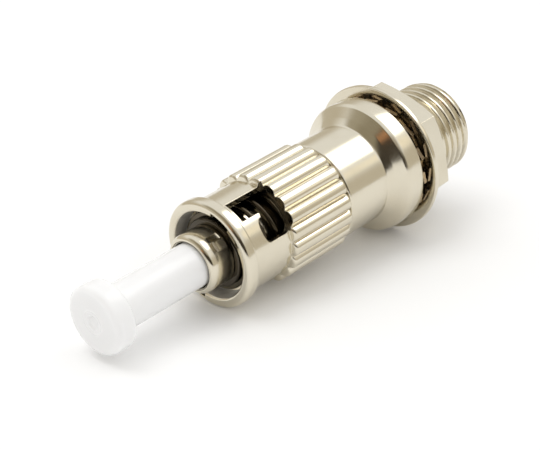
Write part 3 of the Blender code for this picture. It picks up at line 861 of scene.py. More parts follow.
@dataclass(frozen=True)
class Finishes:
    """The adapter's materials."""

    nickel: bpy.types.Material
    slotted: bpy.types.Material
    bore: bpy.types.Material
    steel: bpy.types.Material
    clip: bpy.types.Material
    tooth: bpy.types.Material
    ceramic: bpy.types.Material
    plastic: bpy.types.Material

    @classmethod
    def make(cls, axis: AdapterAxis) -> Finishes:
        """Build every material.

        Args:
            axis: The adapter's axis.

        Returns:
            The materials.
        """
        nickel = PlatedMetal("bright_nickel", (0.70, 0.65, 0.53), (0.66, 0.60, 0.47))
        # The steel's colour is darkened far below clean steel: painted shade for the spring and washers
        # inside the nut.
        steel = PlatedMetal("spring_steel_wire", (0.10, 0.085, 0.06), (0.07, 0.055, 0.04),
                            roughness=0.2, line_height=0.0)
        looks = {
            "nickel": nickel,
            # The nut's lip takes a lighter colour inside: painted light in its recess.
            "slotted": replace(nickel, name="nickel_bare_inside", edge=0.085, inside=3.64),
            "bore": PlatedMetal("inner_nickel", (0.60, 0.54, 0.42), (0.48, 0.41, 0.30),
                                roughness=0.22, line_height=0.0012),
            "steel": steel,
            # The clip is darker still: painted shade; its lighter inner rim is a painted glint.
            "clip": replace(steel, name="rubbed_clip_steel", colour=(0.07, 0.06, 0.045),
                            shade=(0.05, 0.04, 0.03), roughness=0.12, inside=2.2,
                            bare=(0.55, 0.50, 0.40)),
            "tooth": replace(steel, name="stamped_steel", colour=(0.62, 0.50, 0.36),
                             shade=(0.44, 0.33, 0.22), roughness=0.26),
            "ceramic": Translucent("polished_ceramic", (0.88, 0.87, 0.84)),
            "plastic": MilkyPlastic("milky_cap", (0.99, 0.99, 0.985)),
        }
        return cls(**{key: look.make(axis) for key, look in looks.items()})


@dataclass
class DustCap:
    """Push-on cap: a round head and a tube over the ferrule."""

    front: float = -12.98
    head_length: float = 1.9
    head_radius: float = 2.87
    front_edge: float = 0.55
    back_edge: float = 0.4
    tube_radius: float = 1.85
    tube_back: float = -2.1
    bore: float = 1.29
    blind: float = -10.2
    neck: float = 0.3
    gate_radius: float = 0.62
    gate_depth: float = 0.1
    gate_slope: float = 0.16
    ring_radius: float = 0.98
    ring_half: float = 0.09
    ring_height: float = 0.035
    columns: int = 144

    def outline(self) -> list[Point]:
        """Outline of the cap, from the gate in the head's middle round to its bore.

        Returns:
            Its points.
        """
        head_back = self.front + self.head_length
        gate = self.front + self.gate_depth
        outer, inner = self.ring_radius + self.ring_half, self.ring_radius - self.ring_half
        corners = [
            (gate, 0, 0), (gate, self.gate_radius - self.gate_slope, 0.08),
            (self.front, self.gate_radius, 0.1), (self.front, inner, 0.05),
            (self.front - self.ring_height, self.ring_radius, 0.06),
            (self.front, outer, 0.05),
            (self.front, self.head_radius, self.front_edge),
            (head_back, self.head_radius, self.back_edge),
            (head_back, self.tube_radius, self.neck),
            (self.tube_back, self.tube_radius, 0.1), (self.tube_back, self.bore, 0.1),
            (self.blind, self.bore, 0.2), (self.blind, 0, 0)]
        return rounded(corners, closed=False)

    def build(self, shop: Workshop) -> None:
        """Make the cap in the workshop."""
        shop.turn("milky_dust_cap", self.outline(), self.columns, shop.finishes.plastic,
                  Body.DUST_CAP, Slot.PLASTIC, "dust_cap")


@dataclass
class PlugNose:
    """Key barrel with its key, the retaining clip and the ferrule."""

    front: float = -3.0
    radius: float = 2.475
    edge: float = 0.44
    mouth: float = 1.96
    mouth_edge: float = 0.12
    mouth_depth: float = 2.2
    bore: float = 1.29
    groove: tuple[float, float, float] = (-0.67, -0.17, 2.12)
    shoulder: tuple[float, float, float] = (10.2, 12.2, 2.95)
    key_angle: float = 45.0
    key_width: float = 0.9
    key_front: float = -2.05
    key_length: float = 1.1
    key_top: float = 2.795
    key_edge: float = 0.07
    clip: tuple[float, ...] = (-0.62, -0.22, 2.16, 2.92, 0.12, 0.19)
    clip_start: float = 255.0
    clip_span: float = 300.0
    clip_steps: int = 96
    ferrule: tuple[float, float, float, float] = (-9.6, 20.0, 1.25, 0.3)
    ferrule_columns: int = 72
    columns: int = 160

    def barrel(self) -> list[Point]:
        """Outline of the key barrel.

        Returns:
            Its points.
        """
        groove_front, groove_back, groove_radius = self.groove
        shoulder_front, shoulder_back, shoulder_radius = self.shoulder
        blind = self.front + self.mouth_depth
        corners = [
            (self.front, self.mouth, self.mouth_edge), (self.front, self.radius, self.edge),
            (groove_front, self.radius, 0.04), (groove_front, groove_radius, 0.02),
            (groove_back, groove_radius, 0.02), (groove_back, self.radius, 0.04),
            (shoulder_front, self.radius, 0), (shoulder_front, shoulder_radius, 0.05),
            (shoulder_back, shoulder_radius, 0.05), (shoulder_back, self.bore, 0),
            (blind, self.bore, 0.05), (blind, self.mouth, 0.05)]
        return rounded(corners)

    def build(self, shop: Workshop) -> None:
        """Make the nose's pieces.

        Args:
            shop: The workshop.
        """
        finishes = shop.finishes
        barrel = shop.solid("nose_barrel", lathe(self.barrel(), self.columns))
        key = bar(self.key_front, self.key_length, self.key_angle, self.key_width,
                  (self.mouth + self.radius) / 2, self.key_top)
        bmesh.ops.bevel(key, geom=list(key.edges), offset=self.key_edge * MM, segments=2,
                        affect="EDGES")
        shop.cut(barrel, [key], "UNION")
        shop.deliver(barrel, finishes.nickel, Body.ADAPTER, "key_barrel")
        arc = swept_arc(ring(*self.clip), self.clip_start, self.clip_span, self.clip_steps)
        clip = shop.solid("open_clip", arc)
        shop.deliver(clip, finishes.clip, Body.ADAPTER, "retaining_clip")
        start, end, radius, chamfer = self.ferrule
        tip = radius - chamfer
        rod = rounded([(start, 0, 0), (start, tip, 0.08), (start + chamfer, radius, 0.2),
                       (end - chamfer, radius, 0.2), (end, tip, 0.08), (end, 0, 0)], closed=False)
        shop.turn("ceramic_ferrule", rod, self.ferrule_columns, finishes.ceramic, Body.ADAPTER,
                  Slot.CERAMIC, "ferrule")


@dataclass
class CouplingSpring:
    """Compression spring with closed ends, and the thrust washers at its ends."""

    front: float = 0.18
    back: float = 6.8
    seat: float = 0.05
    wire: float = 0.22
    mean: float = 2.95
    turns: float = 6.0
    steps: int = 420
    section_points: int = 14
    washers: tuple[tuple[str, str, float, float, Body], ...] = (
        ("front_thrust_washer", "front_spring_washer", -0.17, 0.18, Body.ADAPTER),
        ("rear_thrust_washer", "rear_spring_washer", 6.8, 7.15, Body.SPRING_FOLLOWER))
    washer_bore: float = 2.535
    washer_radius: float = 3.3
    washer_columns: int = 128

    def tree(self, finish: bpy.types.Material) -> GeometryTree:
        """Tree that coils a straight line and gives it a round section.

        Args:
            finish: The wire's material.

        Returns:
            The tree.
        """
        made = GeometryTree("coil_wire", {
            "Front": self.front + self.seat + self.wire, "Back": self.back - self.seat - self.wire,
            "Wire Radius": self.wire, "Mean Radius": self.mean, "Turns": self.turns})
        graph = made.graph
        front, back, radius, mean, turns = made.inputs()
        turn = graph.wire("GeometryNodeSplineParameter", "Factor") * turns
        rise = radius * 2.0 + self.seat
        last = turns - 1.0
        dead = turn.math("MINIMUM", 1.0) + (turn - last).math("MAXIMUM", 0.0)
        active = (back - front - rise * 2.0) / (last - 1.0)
        station = front + dead * rise + (turn - dead) * active
        angle = turn * math.tau
        place = graph.vector(station * MM, 0.0 - angle.math("SINE") * mean * MM,
                             angle.math("COSINE") * mean * MM)
        line = graph.wire("GeometryNodeCurvePrimitiveLine", inputs={"End": (MM, 0.0, 0.0)})
        points = graph.wire("GeometryNodeResampleCurve",
                            inputs={"Curve": line, "Count": self.steps})
        coil = graph.wire("GeometryNodeSetPosition", inputs={"Geometry": points, "Position": place})
        section = graph.wire("GeometryNodeCurvePrimitiveCircle", inputs={
            "Resolution": self.section_points, "Radius": radius * MM})
        wire = graph.wire("GeometryNodeCurveToMesh", inputs={
            "Curve": coil, "Profile Curve": section, "Fill Caps": True})
        made.close(wire, finish)
        return made

    def build(self, shop: Workshop) -> None:
        """Make the spring and its washers.

        Args:
            shop: The workshop.
        """
        finish = shop.finishes.steel
        # The tree puts the coil in the place of this seed.
        spring = shop.solid("coiled_spring", lathe([(0, 1), (1, 1), (1, 2)], 3))
        self.tree(finish).run(spring)
        shop.place(spring, finish)
        tuple(shop.axis.at(self.front))
        tuple(shop.axis.at(self.back))
        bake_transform(spring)
        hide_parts("coupling_spring")
        for name, node, front, back, body in self.washers:
            section = ring(front, back, self.washer_bore, self.washer_radius, 0.04, 0.08)
            shop.turn(name, section, self.washer_columns, finish, body, Slot.STEEL, node)


@dataclass
class BayonetNut:
    """Coupling nut: rounded lip, two bayonet slots, knurl and inner flange."""

    front: float = -1.12
    lip_radius: float = 4.55
    lip_edge: float = 0.44
    lip_inner_edge: float = 0.24
    lip_back: float = 0.0
    flare: float = 0.16
    flare_back: float = -0.3
    lip_neck: float = 0.03
    radius: float = 4.12
    bore: float = 3.55
    knurl_front: float = 4.02
    knurl_lead: float = 0.3
    knurl_step: float = 0.9
    knurl_radius: float = 4.66
    ribs: int = 20
    rib_phase: float = 6.0
    rib_power: float = 1.5
    valley: float = 0.12
    knurl_chamfer: float = 0.34
    knurl_end: float = 0.2
    back: float = 10.84
    flange: tuple[float, float, float] = (7.2, 8.5, 2.535)
    rear_bore: float = 3.46
    slots: int = 2
    slot_front: float = 0.45
    slot_back: float = 4.35
    slot_start: float = 10.7
    slot_tongue: float = 38.7
    slot_end: float = 73.6
    tongue_tip: float = 2.25
    pocket_front: float = 1.53
    pocket_power: float = 0.8
    tip_edge: float = 0.12
    overrun: float = 0.3
    corner: float = 0.35
    turn: float = 0.75
    way_in_radius: float = 4.1
    cut_radii: tuple[float, float] = (3.0, 6.6)
    columns_per_rib: int = 18

    def outline(self) -> list[Point]:
        """Outline of the nut before its ribs and slots.

        Returns:
            Its points.
        """
        flange_front, flange_back, flange_bore = self.flange
        corners = [
            (self.flare_back, self.bore, 0.1),
            (self.front, self.bore + self.flare, self.lip_inner_edge),
            (self.front, self.lip_radius, self.lip_edge),
            (self.lip_back, self.lip_radius, 0.2), (self.lip_back, self.radius, self.lip_neck),
            (self.back, self.radius, 0.06), (self.back, self.rear_bore, 0.08),
            (flange_back, self.rear_bore, 0), (flange_back, flange_bore, 0.03),
            (flange_front, flange_bore, 0.03), (flange_front, self.bore, 0)]
        points = rounded(corners)
        at = next(i for i, p in enumerate(points) if p[0] > self.knurl_front)
        lead = [(self.knurl_front + self.knurl_lead * k / 6, self.radius) for k in range(7)]
        tail = self.back - self.knurl_chamfer
        run = spread([(self.knurl_front + self.knurl_lead, self.radius), (tail, self.radius)],
                     self.knurl_step)
        end = [(tail + self.knurl_chamfer * k / 5, self.radius) for k in range(1, 5)]
        return points[:at] + lead + run[1:] + end + points[at:]

    def knurl(self, finish: bpy.types.Material) -> GeometryTree:
        """Tree that raises round ribs on the nut's outer surface.

        Args:
            finish: The nut's material.

        Returns:
            The tree.
        """
        made = GeometryTree("knurl_ribs", {
            "Ribs": self.ribs, "Valley": self.valley,
            "Height": self.knurl_radius - self.radius - self.valley,
            "Phase": self.rib_phase / 360.0, "Front": self.knurl_front,
            "Lead": self.knurl_lead, "Back": self.back, "Chamfer": self.knurl_chamfer,
            "Power": self.rib_power, "Surface": self.radius - 0.1})
        ribs, valley, crest, shift, front, lead, back, chamfer, power, surface = made.inputs()
        station, y, z, radius = made.position()
        phase = ((made.angle(y, z) - shift + 1.0) * ribs).math("FRACT")
        off = phase.math("MINIMUM", 1.0 - phase) * 2.0
        shape = ((off ** power) * (math.pi / 2)).math("COSINE")
        rise = ((station - front) / lead).clamp()
        round_start = (1.0 - (1.0 - rise) ** 2.0) ** 0.5
        fall = ((back - station) / chamfer).clamp()
        round_end = (1.0 - (1.0 - fall) ** 2.0) ** 0.5
        round_end = self.knurl_end + (1.0 - self.knurl_end) * round_end
        height = (valley + crest * shape) * round_start * round_end * (radius > surface)
        made.close(made.regrow(station, y, z, (radius + height) / radius), finish)
        return made

    def slot_outline(self, shift: float) -> list[Point]:
        """Unrolled outline of one bayonet slot.

        Args:
            shift: Angle that the slot is turned by.

        Returns:
            Its (station, angle) points.
        """
        start, tongue, end = (a + shift for a in (self.slot_start, self.slot_tongue, self.slot_end))
        unroll = math.degrees(1.0 / self.radius)
        corner = self.corner * unroll
        turn_start = end - self.turn * unroll
        points = [(self.slot_front, tongue), (self.slot_front, start), (self.slot_back, start)]
        points += [(self.slot_back, start + (turn_start - start) * i / 14) for i in range(1, 15)]
        points += [(self.slot_back - self.turn * (1 - math.cos(math.radians(t))),
                    turn_start + (end - turn_start) * math.sin(math.radians(t)))
                   for t in range(10, 91, 10)]
        half = (end - tongue) / 2 - corner * 0.4
        middle = end - half
        depth = self.tongue_tip - self.pocket_front
        for i in range(21):
            turn = math.pi * i / 20
            points.append((self.tongue_tip - 0.1 - (depth - 0.1) * math.sin(turn) ** self.pocket_power,
                           middle + half * math.cos(turn) * (1.0 if i < 11 else 0.9)))
        points += [(self.tongue_tip, tongue + 0.25 * corner), (self.tongue_tip - self.tip_edge, tongue)]
        return points

    def cutters(self) -> list[bmesh.types.BMesh]:
        """Cutters of the slots and of the lugs' ways in through the lip.

        Returns:
            The cutters, a slot and a way in by turns.
        """
        made = []
        low, high = self.cut_radii
        for i in range(self.slots):
            shift = 360.0 / self.slots * i
            made.append(prism(self.slot_outline(shift), low, high))
            start, end = self.slot_start + shift, self.slot_tongue + shift
            edge = [(self.front - self.overrun, start + (end - start) * j / 8) for j in range(9)]
            way = edge + [(self.slot_front + self.overrun, a) for _, a in reversed(edge)]
            made.append(prism(way, low, self.way_in_radius))
        return made

    def build(self, shop: Workshop) -> None:
        """Make the nut.

        Args:
            shop: The workshop.
        """
        finish = shop.finishes.slotted
        blank = lathe(self.outline(), self.ribs * self.columns_per_rib, self.rib_phase)
        made = shop.solid("bayonet_nut", blank)
        self.knurl(finish).run(made)
        shop.cut(made, self.cutters())
        shop.deliver(made, finish, Body.COUPLING_NUT, "coupling_nut")


@dataclass
class AdapterBody:
    """Body: pilot, barrel, coned panel flange and threaded port."""

    pilot_front: float = 9.2
    pilot_radius: float = 3.4
    bore: float = 2.535
    barrel_front: float = 10.96
    barrel_radius: float = 4.3
    cone: tuple[Corner, ...] = ((15.47, 4.3, 0.3), (16.0, 4.79, 0.5), (16.57, 5.56, 0.16))
    flange_front: float = 16.85
    flange_radius: float = 5.7
    flange_back: float = 18.35
    thread_radius: float = 4.0
    thread_front: float = 19.05
    thread_back: float = 26.9
    thread_chamfer: float = 0.35
    pitch: float = 0.75
    thread_depth: float = 0.4
    groove_power: float = 4.0
    crest_angle: float = 183.75
    port_radius: float = 2.98
    port_lead: float = 0.2
    port_floor: float = 16.0
    inner_radius: float = 2.99
    inner_front: float = 10.15
    key_width: float = 2.15
    key_depth: float = 2.6
    key_angle: float = 225.0
    key_radii: tuple[float, float] = (2.4, 5.0)
    columns: int = 160
    rows_per_pitch: int = 10

    def outline(self) -> list[Point]:
        """Outline of the body before its thread.

        Returns:
            Its points.
        """
        before = rounded([
            (self.pilot_front, self.bore, 0), (self.pilot_front, self.pilot_radius, 0.12),
            (self.barrel_front, self.pilot_radius, 0.03),
            (self.barrel_front, self.barrel_radius, 0.26),
            *self.cone, (self.flange_front, self.flange_radius, 0.25),
            (self.flange_back, self.flange_radius, 0.12),
            (self.flange_back, self.thread_radius, 0.05),
            (self.thread_front, self.thread_radius, 0)], closed=False)
        chamfer_start = self.thread_back - self.thread_chamfer
        turns = spread([(self.thread_front, self.thread_radius),
                        (chamfer_start, self.thread_radius),
                        (self.thread_back, self.thread_radius - self.thread_chamfer)],
                       self.pitch / self.rows_per_pitch)
        after = rounded([
            (self.thread_back, self.thread_radius - self.thread_chamfer, 0),
            (self.thread_back, self.port_radius, self.port_lead),
            (self.port_floor, self.port_radius, 0), (self.port_floor, self.inner_radius, 0),
            (self.inner_front, self.inner_radius, 0), (self.inner_front, self.bore, 0)],
            closed=False)
        return before[:-1] + turns[:-1] + after

    def thread(self, finish: bpy.types.Material) -> GeometryTree:
        """Tree that cuts the screw thread's groove into the outer surface.

        Args:
            finish: The body's material.

        Returns:
            The tree.
        """
        made = GeometryTree("screw_thread", {
            "Major Radius": self.thread_radius, "Depth": self.thread_depth, "Pitch": self.pitch,
            "Crest": self.crest_angle / 360.0, "Front": self.thread_front,
            "Surface": self.port_radius + self.port_lead + 0.1})
        major, depth, pitch, crest, front, surface = made.inputs()
        station, y, z, radius = made.position()
        lead = crest - made.angle(y, z) + 8.0
        phase = ((station - front) / pitch + lead).math("FRACT")
        groove = ((phase * math.pi).math("SINE") ** self.groove_power) * depth
        starting = (station - front).clamp()
        cut = major - groove * starting
        threaded = (station > front) * (radius > surface)
        new_radius = radius.math("MINIMUM", cut)
        share = 1.0 + (new_radius / radius - 1.0) * threaded
        made.close(made.regrow(station, y, z, share), finish)
        return made

    def build(self, shop: Workshop) -> None:
        """Make the body.

        Args:
            shop: The workshop.
        """
        finish = shop.finishes.nickel
        made = shop.solid("flanged_body", lathe(self.outline(), self.columns))
        self.thread(finish).run(made)
        key = bar(self.thread_back - self.key_depth, self.key_depth * 2, self.key_angle,
                  self.key_width, *self.key_radii)
        shop.cut(made, [key])
        shop.deliver(made, finish, Body.ADAPTER, "adapter_body")


@dataclass
class PanelHardware:
    """Toothed lock washer, flat washer and hexagon nut."""

    bore: float = 4.06
    lock_front: float = 18.4
    lock_back: float = 19.02
    lock_thickness: float = 0.3
    lock_ring: float = 4.75
    lock_radius: float = 5.5
    lock_columns: int = 96
    teeth: int = 16
    tooth_width: float = 1.12
    tooth_root: float = 0.5
    tooth_taper: float = 0.18
    tooth_twist: float = 0.92
    washer_front: float = 19.07
    washer_back: float = 19.49
    washer_radius: float = 6.4
    nut_front: float = 19.54
    nut_back: float = 22.14
    nut_flats: float = 10.06
    nut_chamfer: float = 0.45
    nut_lead: float = 0.3
    nut_angle: float = 45.7
    nut_round: float = 0.06
    nut_face: float = 0.1
    columns: int = 192

    @property
    def nut_corner(self) -> float:
        """Radius of the nut's corners."""
        return self.nut_flats / 2 / math.cos(math.radians(30))

    def tooth_tree(self, finish: bpy.types.Material) -> GeometryTree:
        """Tree that sets twisted teeth round the lock washer's ring.

        Args:
            finish: The washer's material.

        Returns:
            The tree.
        """
        length = self.lock_radius - self.lock_ring + self.tooth_root
        lift = (self.lock_back - self.lock_front - self.lock_thickness) / self.tooth_width
        made = GeometryTree("lock_teeth", {
            "Teeth": self.teeth, "Ring Radius": self.lock_radius - length / 2,
            "Width": self.tooth_width, "Thickness": self.lock_thickness,
            "Middle": (self.lock_front + self.lock_back) / 2, "Length": length,
            "Twist": math.atan(lift) * self.tooth_twist})
        graph = made.graph
        teeth, spread_radius, width, thickness, middle, reach, twist = made.inputs()
        spots = graph.wire("GeometryNodeMeshCircle", inputs={
            "Vertices": teeth, "Radius": spread_radius * MM})
        size = graph.vector(reach * MM, width * MM, thickness * MM)
        blank = graph.wire("GeometryNodeMeshCube", inputs={
            "Size": size, "Vertices X": 6, "Vertices Y": 5, "Vertices Z": 2})
        x, y, z = graph.parts(graph.wire("GeometryNodeInputPosition"))
        share = (x / (reach * MM) + 0.5).clamp()
        turn = twist * share
        cos, sin = turn.math("COSINE"), turn.math("SINE")
        taper = (1.0 - self.tooth_taper) + share * self.tooth_taper
        twisted = graph.vector(x, y * cos * taper - z * sin, y * sin + z * cos)
        tooth = graph.wire("GeometryNodeSetPosition",
                           inputs={"Geometry": blank, "Position": twisted})
        facing = graph.wire("FunctionNodeAlignRotationToVector", 0, {"axis": "X"},
                            {"Vector": graph.wire("GeometryNodeInputPosition")})
        crown = graph.wire("GeometryNodeInstanceOnPoints", inputs={
            "Points": spots, "Instance": tooth, "Rotation": facing})
        upright = graph.wire("GeometryNodeTransform", inputs={
            "Geometry": crown, "Rotation": (0.0, math.pi / 2, 0.0),
            "Translation": graph.vector(middle * MM, 0.0, 0.0)})
        joined = graph.node("GeometryNodeJoinGeometry")
        for part in (made.geometry, upright):
            graph.tree.links.new(part.value, joined.inputs[0])
        made.close(joined.outputs[0], finish)
        return made

    def build(self, shop: Workshop) -> None:
        """Make the washers and the nut.

        Args:
            shop: The workshop.
        """
        nickel, tooth = shop.finishes.nickel, shop.finishes.tooth
        middle, half = (self.lock_front + self.lock_back) / 2, self.lock_thickness / 2
        section = ring(middle - half, middle + half, self.bore, self.lock_ring, 0.03, 0.05)
        lock = shop.solid("toothed_washer", lathe(section, self.lock_columns))
        self.tooth_tree(tooth).run(lock)
        shop.deliver(lock, tooth, Body.WASHERS, "lock_washer")
        section = ring(self.washer_front, self.washer_back, self.bore, self.washer_radius,
                       0.03, 0.1)
        shop.turn("plain_washer", section, self.columns, nickel, Body.WASHERS, Slot.NICKEL,
                  "flat_washer")
        nut = shop.solid("panel_nut", lathe(self.nut_outline(), self.columns))
        front, back, corner = self.nut_front - 1, self.nut_back + 1, self.nut_corner
        blank = lathe([(front, 0), (front, corner), (back, corner), (back, 0)], 6, self.nut_angle)
        shop.cut(nut, [blank], "INTERSECT")
        shop.deliver(nut, nickel, Body.HEX_NUT, "hex_nut")

    def nut_outline(self) -> list[Point]:
        """Outline of the chamfered disc that the nut's flats are cut from.

        Returns:
            Its points.
        """
        edge = self.nut_corner + self.nut_round
        face, lead = self.nut_flats / 2 - self.nut_face, self.nut_lead
        return [(self.nut_front, self.bore + lead), (self.nut_front, face),
                (self.nut_front + self.nut_chamfer, edge), (self.nut_back - self.nut_chamfer, edge),
                (self.nut_back, face), (self.nut_back, self.bore + lead),
                (self.nut_back - lead, self.bore), (self.nut_front + lead, self.bore)]


@dataclass
class ScrewPort:
    """Sleeve housing in the threaded port; its hidden pieces stay as packed."""

    housing: tuple[float, float, float, float] = (13.8, 25.3, 2.2, 1.63)
    base: tuple[float, float] = (14.8, 2.9)
    lip: tuple[float, float] = (0.35, 1.34)
    columns: int = 96

    def build(self, shop: Workshop) -> None:
        """Make the housing and dress the hidden pieces.

        Args:
            shop: The workshop.
        """
        finishes = shop.finishes
        front, back, radius, bore = self.housing
        base_back, base_radius = self.base
        lip_length, lip_radius = self.lip
        tube = rounded([(front, bore, 0), (front, base_radius, 0.03), (base_back, base_radius, 0.03),
                        (base_back, radius, 0), (back, radius, 0.2), (back, lip_radius, 0.12),
                        (back - lip_length, lip_radius, 0.03), (back - lip_length, bore, 0)])
        shop.turn("port_sleeve_housing", tube, self.columns, finishes.bore, Body.ADAPTER,
                  Slot.NICKEL, "sleeve_housing")
        dress = {"ferrule_collar": finishes.bore, "housing_retainer": finishes.bore,
                 "split_sleeve": finishes.ceramic}
        for name, finish in dress.items():
            shop.nodes[name].data.materials.clear()
            shop.nodes[name].data.materials.append(finish)


def towards(azimuth: float, elevation: float) -> Vector:
    """Unit vector at an azimuth from +X towards +Y and an elevation, in degrees."""
    turn, rise = math.radians(azimuth), math.radians(elevation)
    return Vector((math.cos(turn) * math.cos(rise), math.sin(turn) * math.cos(rise), math.sin(rise)))


@dataclass(frozen=True)
class SkyPatch:
    """Round patch of the studio's surroundings that is brighter or darker than white paper.

    Attributes:
        azimuth: Degrees from +X towards +Y.
        elevation: Degrees over the horizon.
        inner: Radius of its full part, in degrees.
        outer: Radius at which it has faded out, in degrees.
        colour: Its colour.
        matt: How far it counts for matt surfaces.
    """

    azimuth: float
    elevation: float
    inner: float
    outer: float
    colour: Colour
    matt: float = 0.4

    def mask(self, graph: Graph, place: Wire) -> Wire:
        """Share of the patch in the direction place: 1 inside it, 0 outside."""
        dot = graph.wire("ShaderNodeVectorMath", "Value", {"operation": "DOT_PRODUCT"},
                         {0: place, 1: tuple(towards(self.azimuth, self.elevation))})
        return dot.ramp(math.cos(math.radians(self.outer)), math.cos(math.radians(self.inner)))


@dataclass(frozen=True)
class Softbox:
    """Round soft lamp that faces the object.

    Attributes:
        name: Its name.
        azimuth: Degrees from +X towards +Y.
        elevation: Degrees over the horizon.
        distance: Millimetres from the object.
        diameter: Its diameter in millimetres.
        radiance: Its brightness, where white paper has 1.
    """

    name: str
    azimuth: float
    elevation: float
    distance: float
    diameter: float
    radiance: float

    def build(self) -> None:
        """Hang the lamp."""
        data = bpy.data.lights.new(self.name, "AREA")
        data.shape = "DISK"
        data.size = self.diameter * MM
        data.energy = self.radiance * math.pi * math.pi * (data.size / 2) ** 2
        made = add_object(self.name, data)
        out = towards(self.azimuth, self.elevation)
        made.location = out * self.distance * MM
        made.rotation_euler = (-out).to_track_quat("-Z", "Y").to_euler()
        made.visible_glossy = False


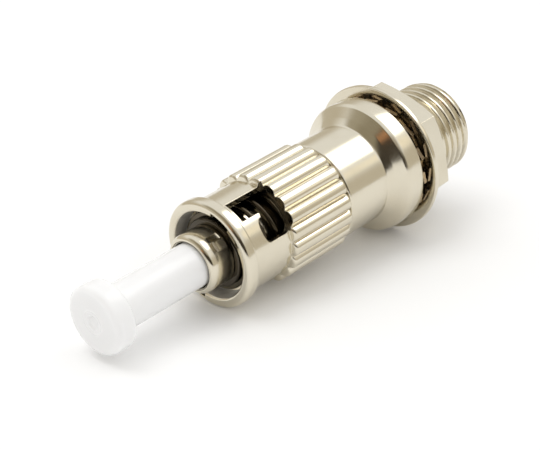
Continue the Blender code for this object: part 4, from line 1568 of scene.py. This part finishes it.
@dataclass
class Studio:
    """Camera, floor and soft light.

    Attributes:
        camera_place: The camera's place, in millimetres.
        heading: The camera's heading from +X towards +Y, in degrees.
        depression: How far the camera looks down, in degrees.
        focal_pixels: Focal length in pixels of the frame.
        frame_width: Width of the frame in pixels.
        sensor: Width of the sensor in millimetres.
        floor_size: Diameter of the floor, in metres.
        floor_colour: The floor's colour as the object and the shadows meet it.
        floor_shade: Colour of its cloudy parts.
        floor_mottle: How far the cloudy parts count.
        seen_floor_colour: The floor's colour for the camera and for reflections.
        diffuse_level: Level of the surroundings for matt surfaces.
        horizon_share: How far the dark horizon counts for matt surfaces.
        horizon_fade: Heights, as sines, between which the dark horizon fades out.
        horizon_colour: Colour of the surroundings just over the floor.
        patches: Brighter and darker parts of the surroundings.
        lamp: The lamp that casts the soft shadow.
    """

    camera_place: tuple[float, float, float] = (-89.571, -83.947, 64.552)
    heading: float = 43.479
    depression: float = 26.149
    focal_pixels: float = 1700.0
    frame_width: float = 540.0
    sensor: float = 36.0
    floor_size: float = 1.6
    floor_colour: Colour = (0.88, 0.88, 0.88)
    floor_shade: Colour = (0.85, 0.85, 0.85)
    floor_mottle: float = 0.02
    seen_floor_colour: Colour = (1.0, 1.0, 1.0)
    diffuse_level: float = 0.95
    horizon_share: float = 0.2
    horizon_fade: tuple[float, float] = (0.28, 0.62)
    horizon_colour: Colour = (0.66, 0.61, 0.51)
    patches: tuple[SkyPatch, ...] = (
        SkyPatch(148.0, 44.0, 12.0, 26.0, (0.44, 0.40, 0.31)),
        SkyPatch(188.0, 43.0, 18.0, 32.0, (0.34, 0.30, 0.22)),
        SkyPatch(238.0, 36.0, 8.0, 24.0, (0.46, 0.41, 0.34)),
        SkyPatch(204.0, 8.0, 22.0, 33.0, (0.06, 0.048, 0.034), 0.1),
        SkyPatch(240.0, 8.0, 19.0, 29.0, (0.05, 0.04, 0.028), 0.1),
        SkyPatch(187.0, 21.0, 1.5, 8.5, (0.85, 0.42, 0.20), 0.1),
        SkyPatch(316.0, 32.0, 4.0, 10.0, (1.22, 1.14, 0.97)),
        SkyPatch(342.0, 56.0, 11.0, 21.0, (3.6, 3.55, 3.4), 0.26),
    )
    lamp: Softbox = Softbox("rear_softbox", 140.0, 68.0, 420.0, 260.0, 2.0)

    def camera(self) -> None:
        """Place the camera at the photograph's angle."""
        data = bpy.data.cameras.new("view_camera")
        data.sensor_width = self.sensor
        data.lens = self.focal_pixels / self.frame_width * self.sensor
        data.clip_start, data.clip_end = 0.005, 10.0
        made = add_object("view_camera", data)
        ahead = towards(self.heading, -self.depression)
        made.location = Vector(self.camera_place) * MM
        made.rotation_euler = ahead.to_track_quat("-Z", "Y").to_euler()
        bpy.context.scene.camera = made

    def floor(self) -> None:
        """Lay the pale floor."""
        build = bmesh.new()
        bmesh.ops.create_circle(build, cap_ends=True, segments=96, radius=self.floor_size / 2)
        mesh = bpy.data.meshes.new("pale_floor")
        build.to_mesh(mesh)
        build.free()
        made = add_object("pale_floor", mesh)
        finish, graph, shader = new_material("pale_paper")
        cloud = graph.noise(graph.wire("ShaderNodeTexCoord", "Object"), 30.0, 2.0)
        path = graph.node("ShaderNodeLightPath")
        seen = Wire(graph, path.outputs["Is Camera Ray"]).math(
            "MAXIMUM", path.outputs["Is Glossy Ray"])
        paper = graph.mix_colour(cloud * self.floor_mottle, self.floor_colour, self.floor_shade)
        colour = graph.mix_colour(seen, paper, self.seen_floor_colour)
        graph.fill(shader, {"Base Color": colour, "Roughness": 0.8, "Specular IOR Level": 0.0})
        made.data.materials.append(finish)

    def world(self) -> None:
        """Surround the scene with white paper, darker near the horizon and in patches."""
        made = bpy.data.worlds.new("white_studio")
        made.use_nodes = True
        bpy.context.scene.world = made
        graph = Graph(made.node_tree)
        place = graph.wire("ShaderNodeTexCoord", "Generated")
        height = graph.parts(place)[2]
        path = graph.node("ShaderNodeLightPath")
        camera = Wire(graph, path.outputs["Is Camera Ray"])
        mirror = Wire(graph, path.outputs["Is Glossy Ray"]).math(
            "MAXIMUM", path.outputs["Is Transmission Ray"])
        share = self.horizon_share + mirror * (1.0 - self.horizon_share)
        low = (1.0 - height.ramp(*self.horizon_fade)) * share
        colour = graph.mix_colour(low, (1.0, 1.0, 1.0), self.horizon_colour)
        for patch in self.patches:
            share = patch.matt + mirror * (1.0 - patch.matt)
            colour = graph.mix_colour(patch.mask(graph, place) * share, colour, patch.colour)
        shown = graph.mix_colour(camera, colour, (1.0, 1.0, 1.0))
        strength = self.diffuse_level + camera.math("MAXIMUM", mirror) * (1.0 - self.diffuse_level)
        graph.fill(made.node_tree.nodes["Background"], {"Color": shown, "Strength": strength})

    def build(self) -> None:
        """Set up everything that isn't part of the object."""
        self.camera()
        self.floor()
        self.world()
        self.lamp.build()
        bpy.context.scene.view_settings.view_transform = "Standard"


@dataclass
class Adapter:
    """The whole adapter, as its sub-assemblies in order."""

    cap: DustCap = field(default_factory=DustCap)
    nose: PlugNose = field(default_factory=PlugNose)
    spring: CouplingSpring = field(default_factory=CouplingSpring)
    nut: BayonetNut = field(default_factory=BayonetNut)
    body: AdapterBody = field(default_factory=AdapterBody)
    hardware: PanelHardware = field(default_factory=PanelHardware)
    port: ScrewPort = field(default_factory=ScrewPort)

    def build(self, shop: Workshop) -> None:
        """Build every sub-assembly in the workshop."""
        for part in (self.cap, self.nose, self.spring, self.nut, self.body, self.hardware, self.port):
            part.build(shop)


def clear_scene() -> None:
    """Remove what the start-up file brings."""
    for old in list(bpy.data.objects):
        bpy.data.objects.remove(old, do_unlink=True)


def main() -> None:
    """Build the adapter and its studio."""
    logging.basicConfig(level=logging.INFO, format="%(name)s: %(message)s")
    clear_scene()
    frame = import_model()
    adapter = Adapter()
    axis = AdapterAxis.from_joints(frame["joints"], "coupling_turn", adapter.nut.flange[0])
    Studio().build()
    adapter.build(Workshop(axis, Finishes.make(axis), frame["nodes"]))
    bpy.context.view_layer.update()


if __name__ == "__main__":
    main()
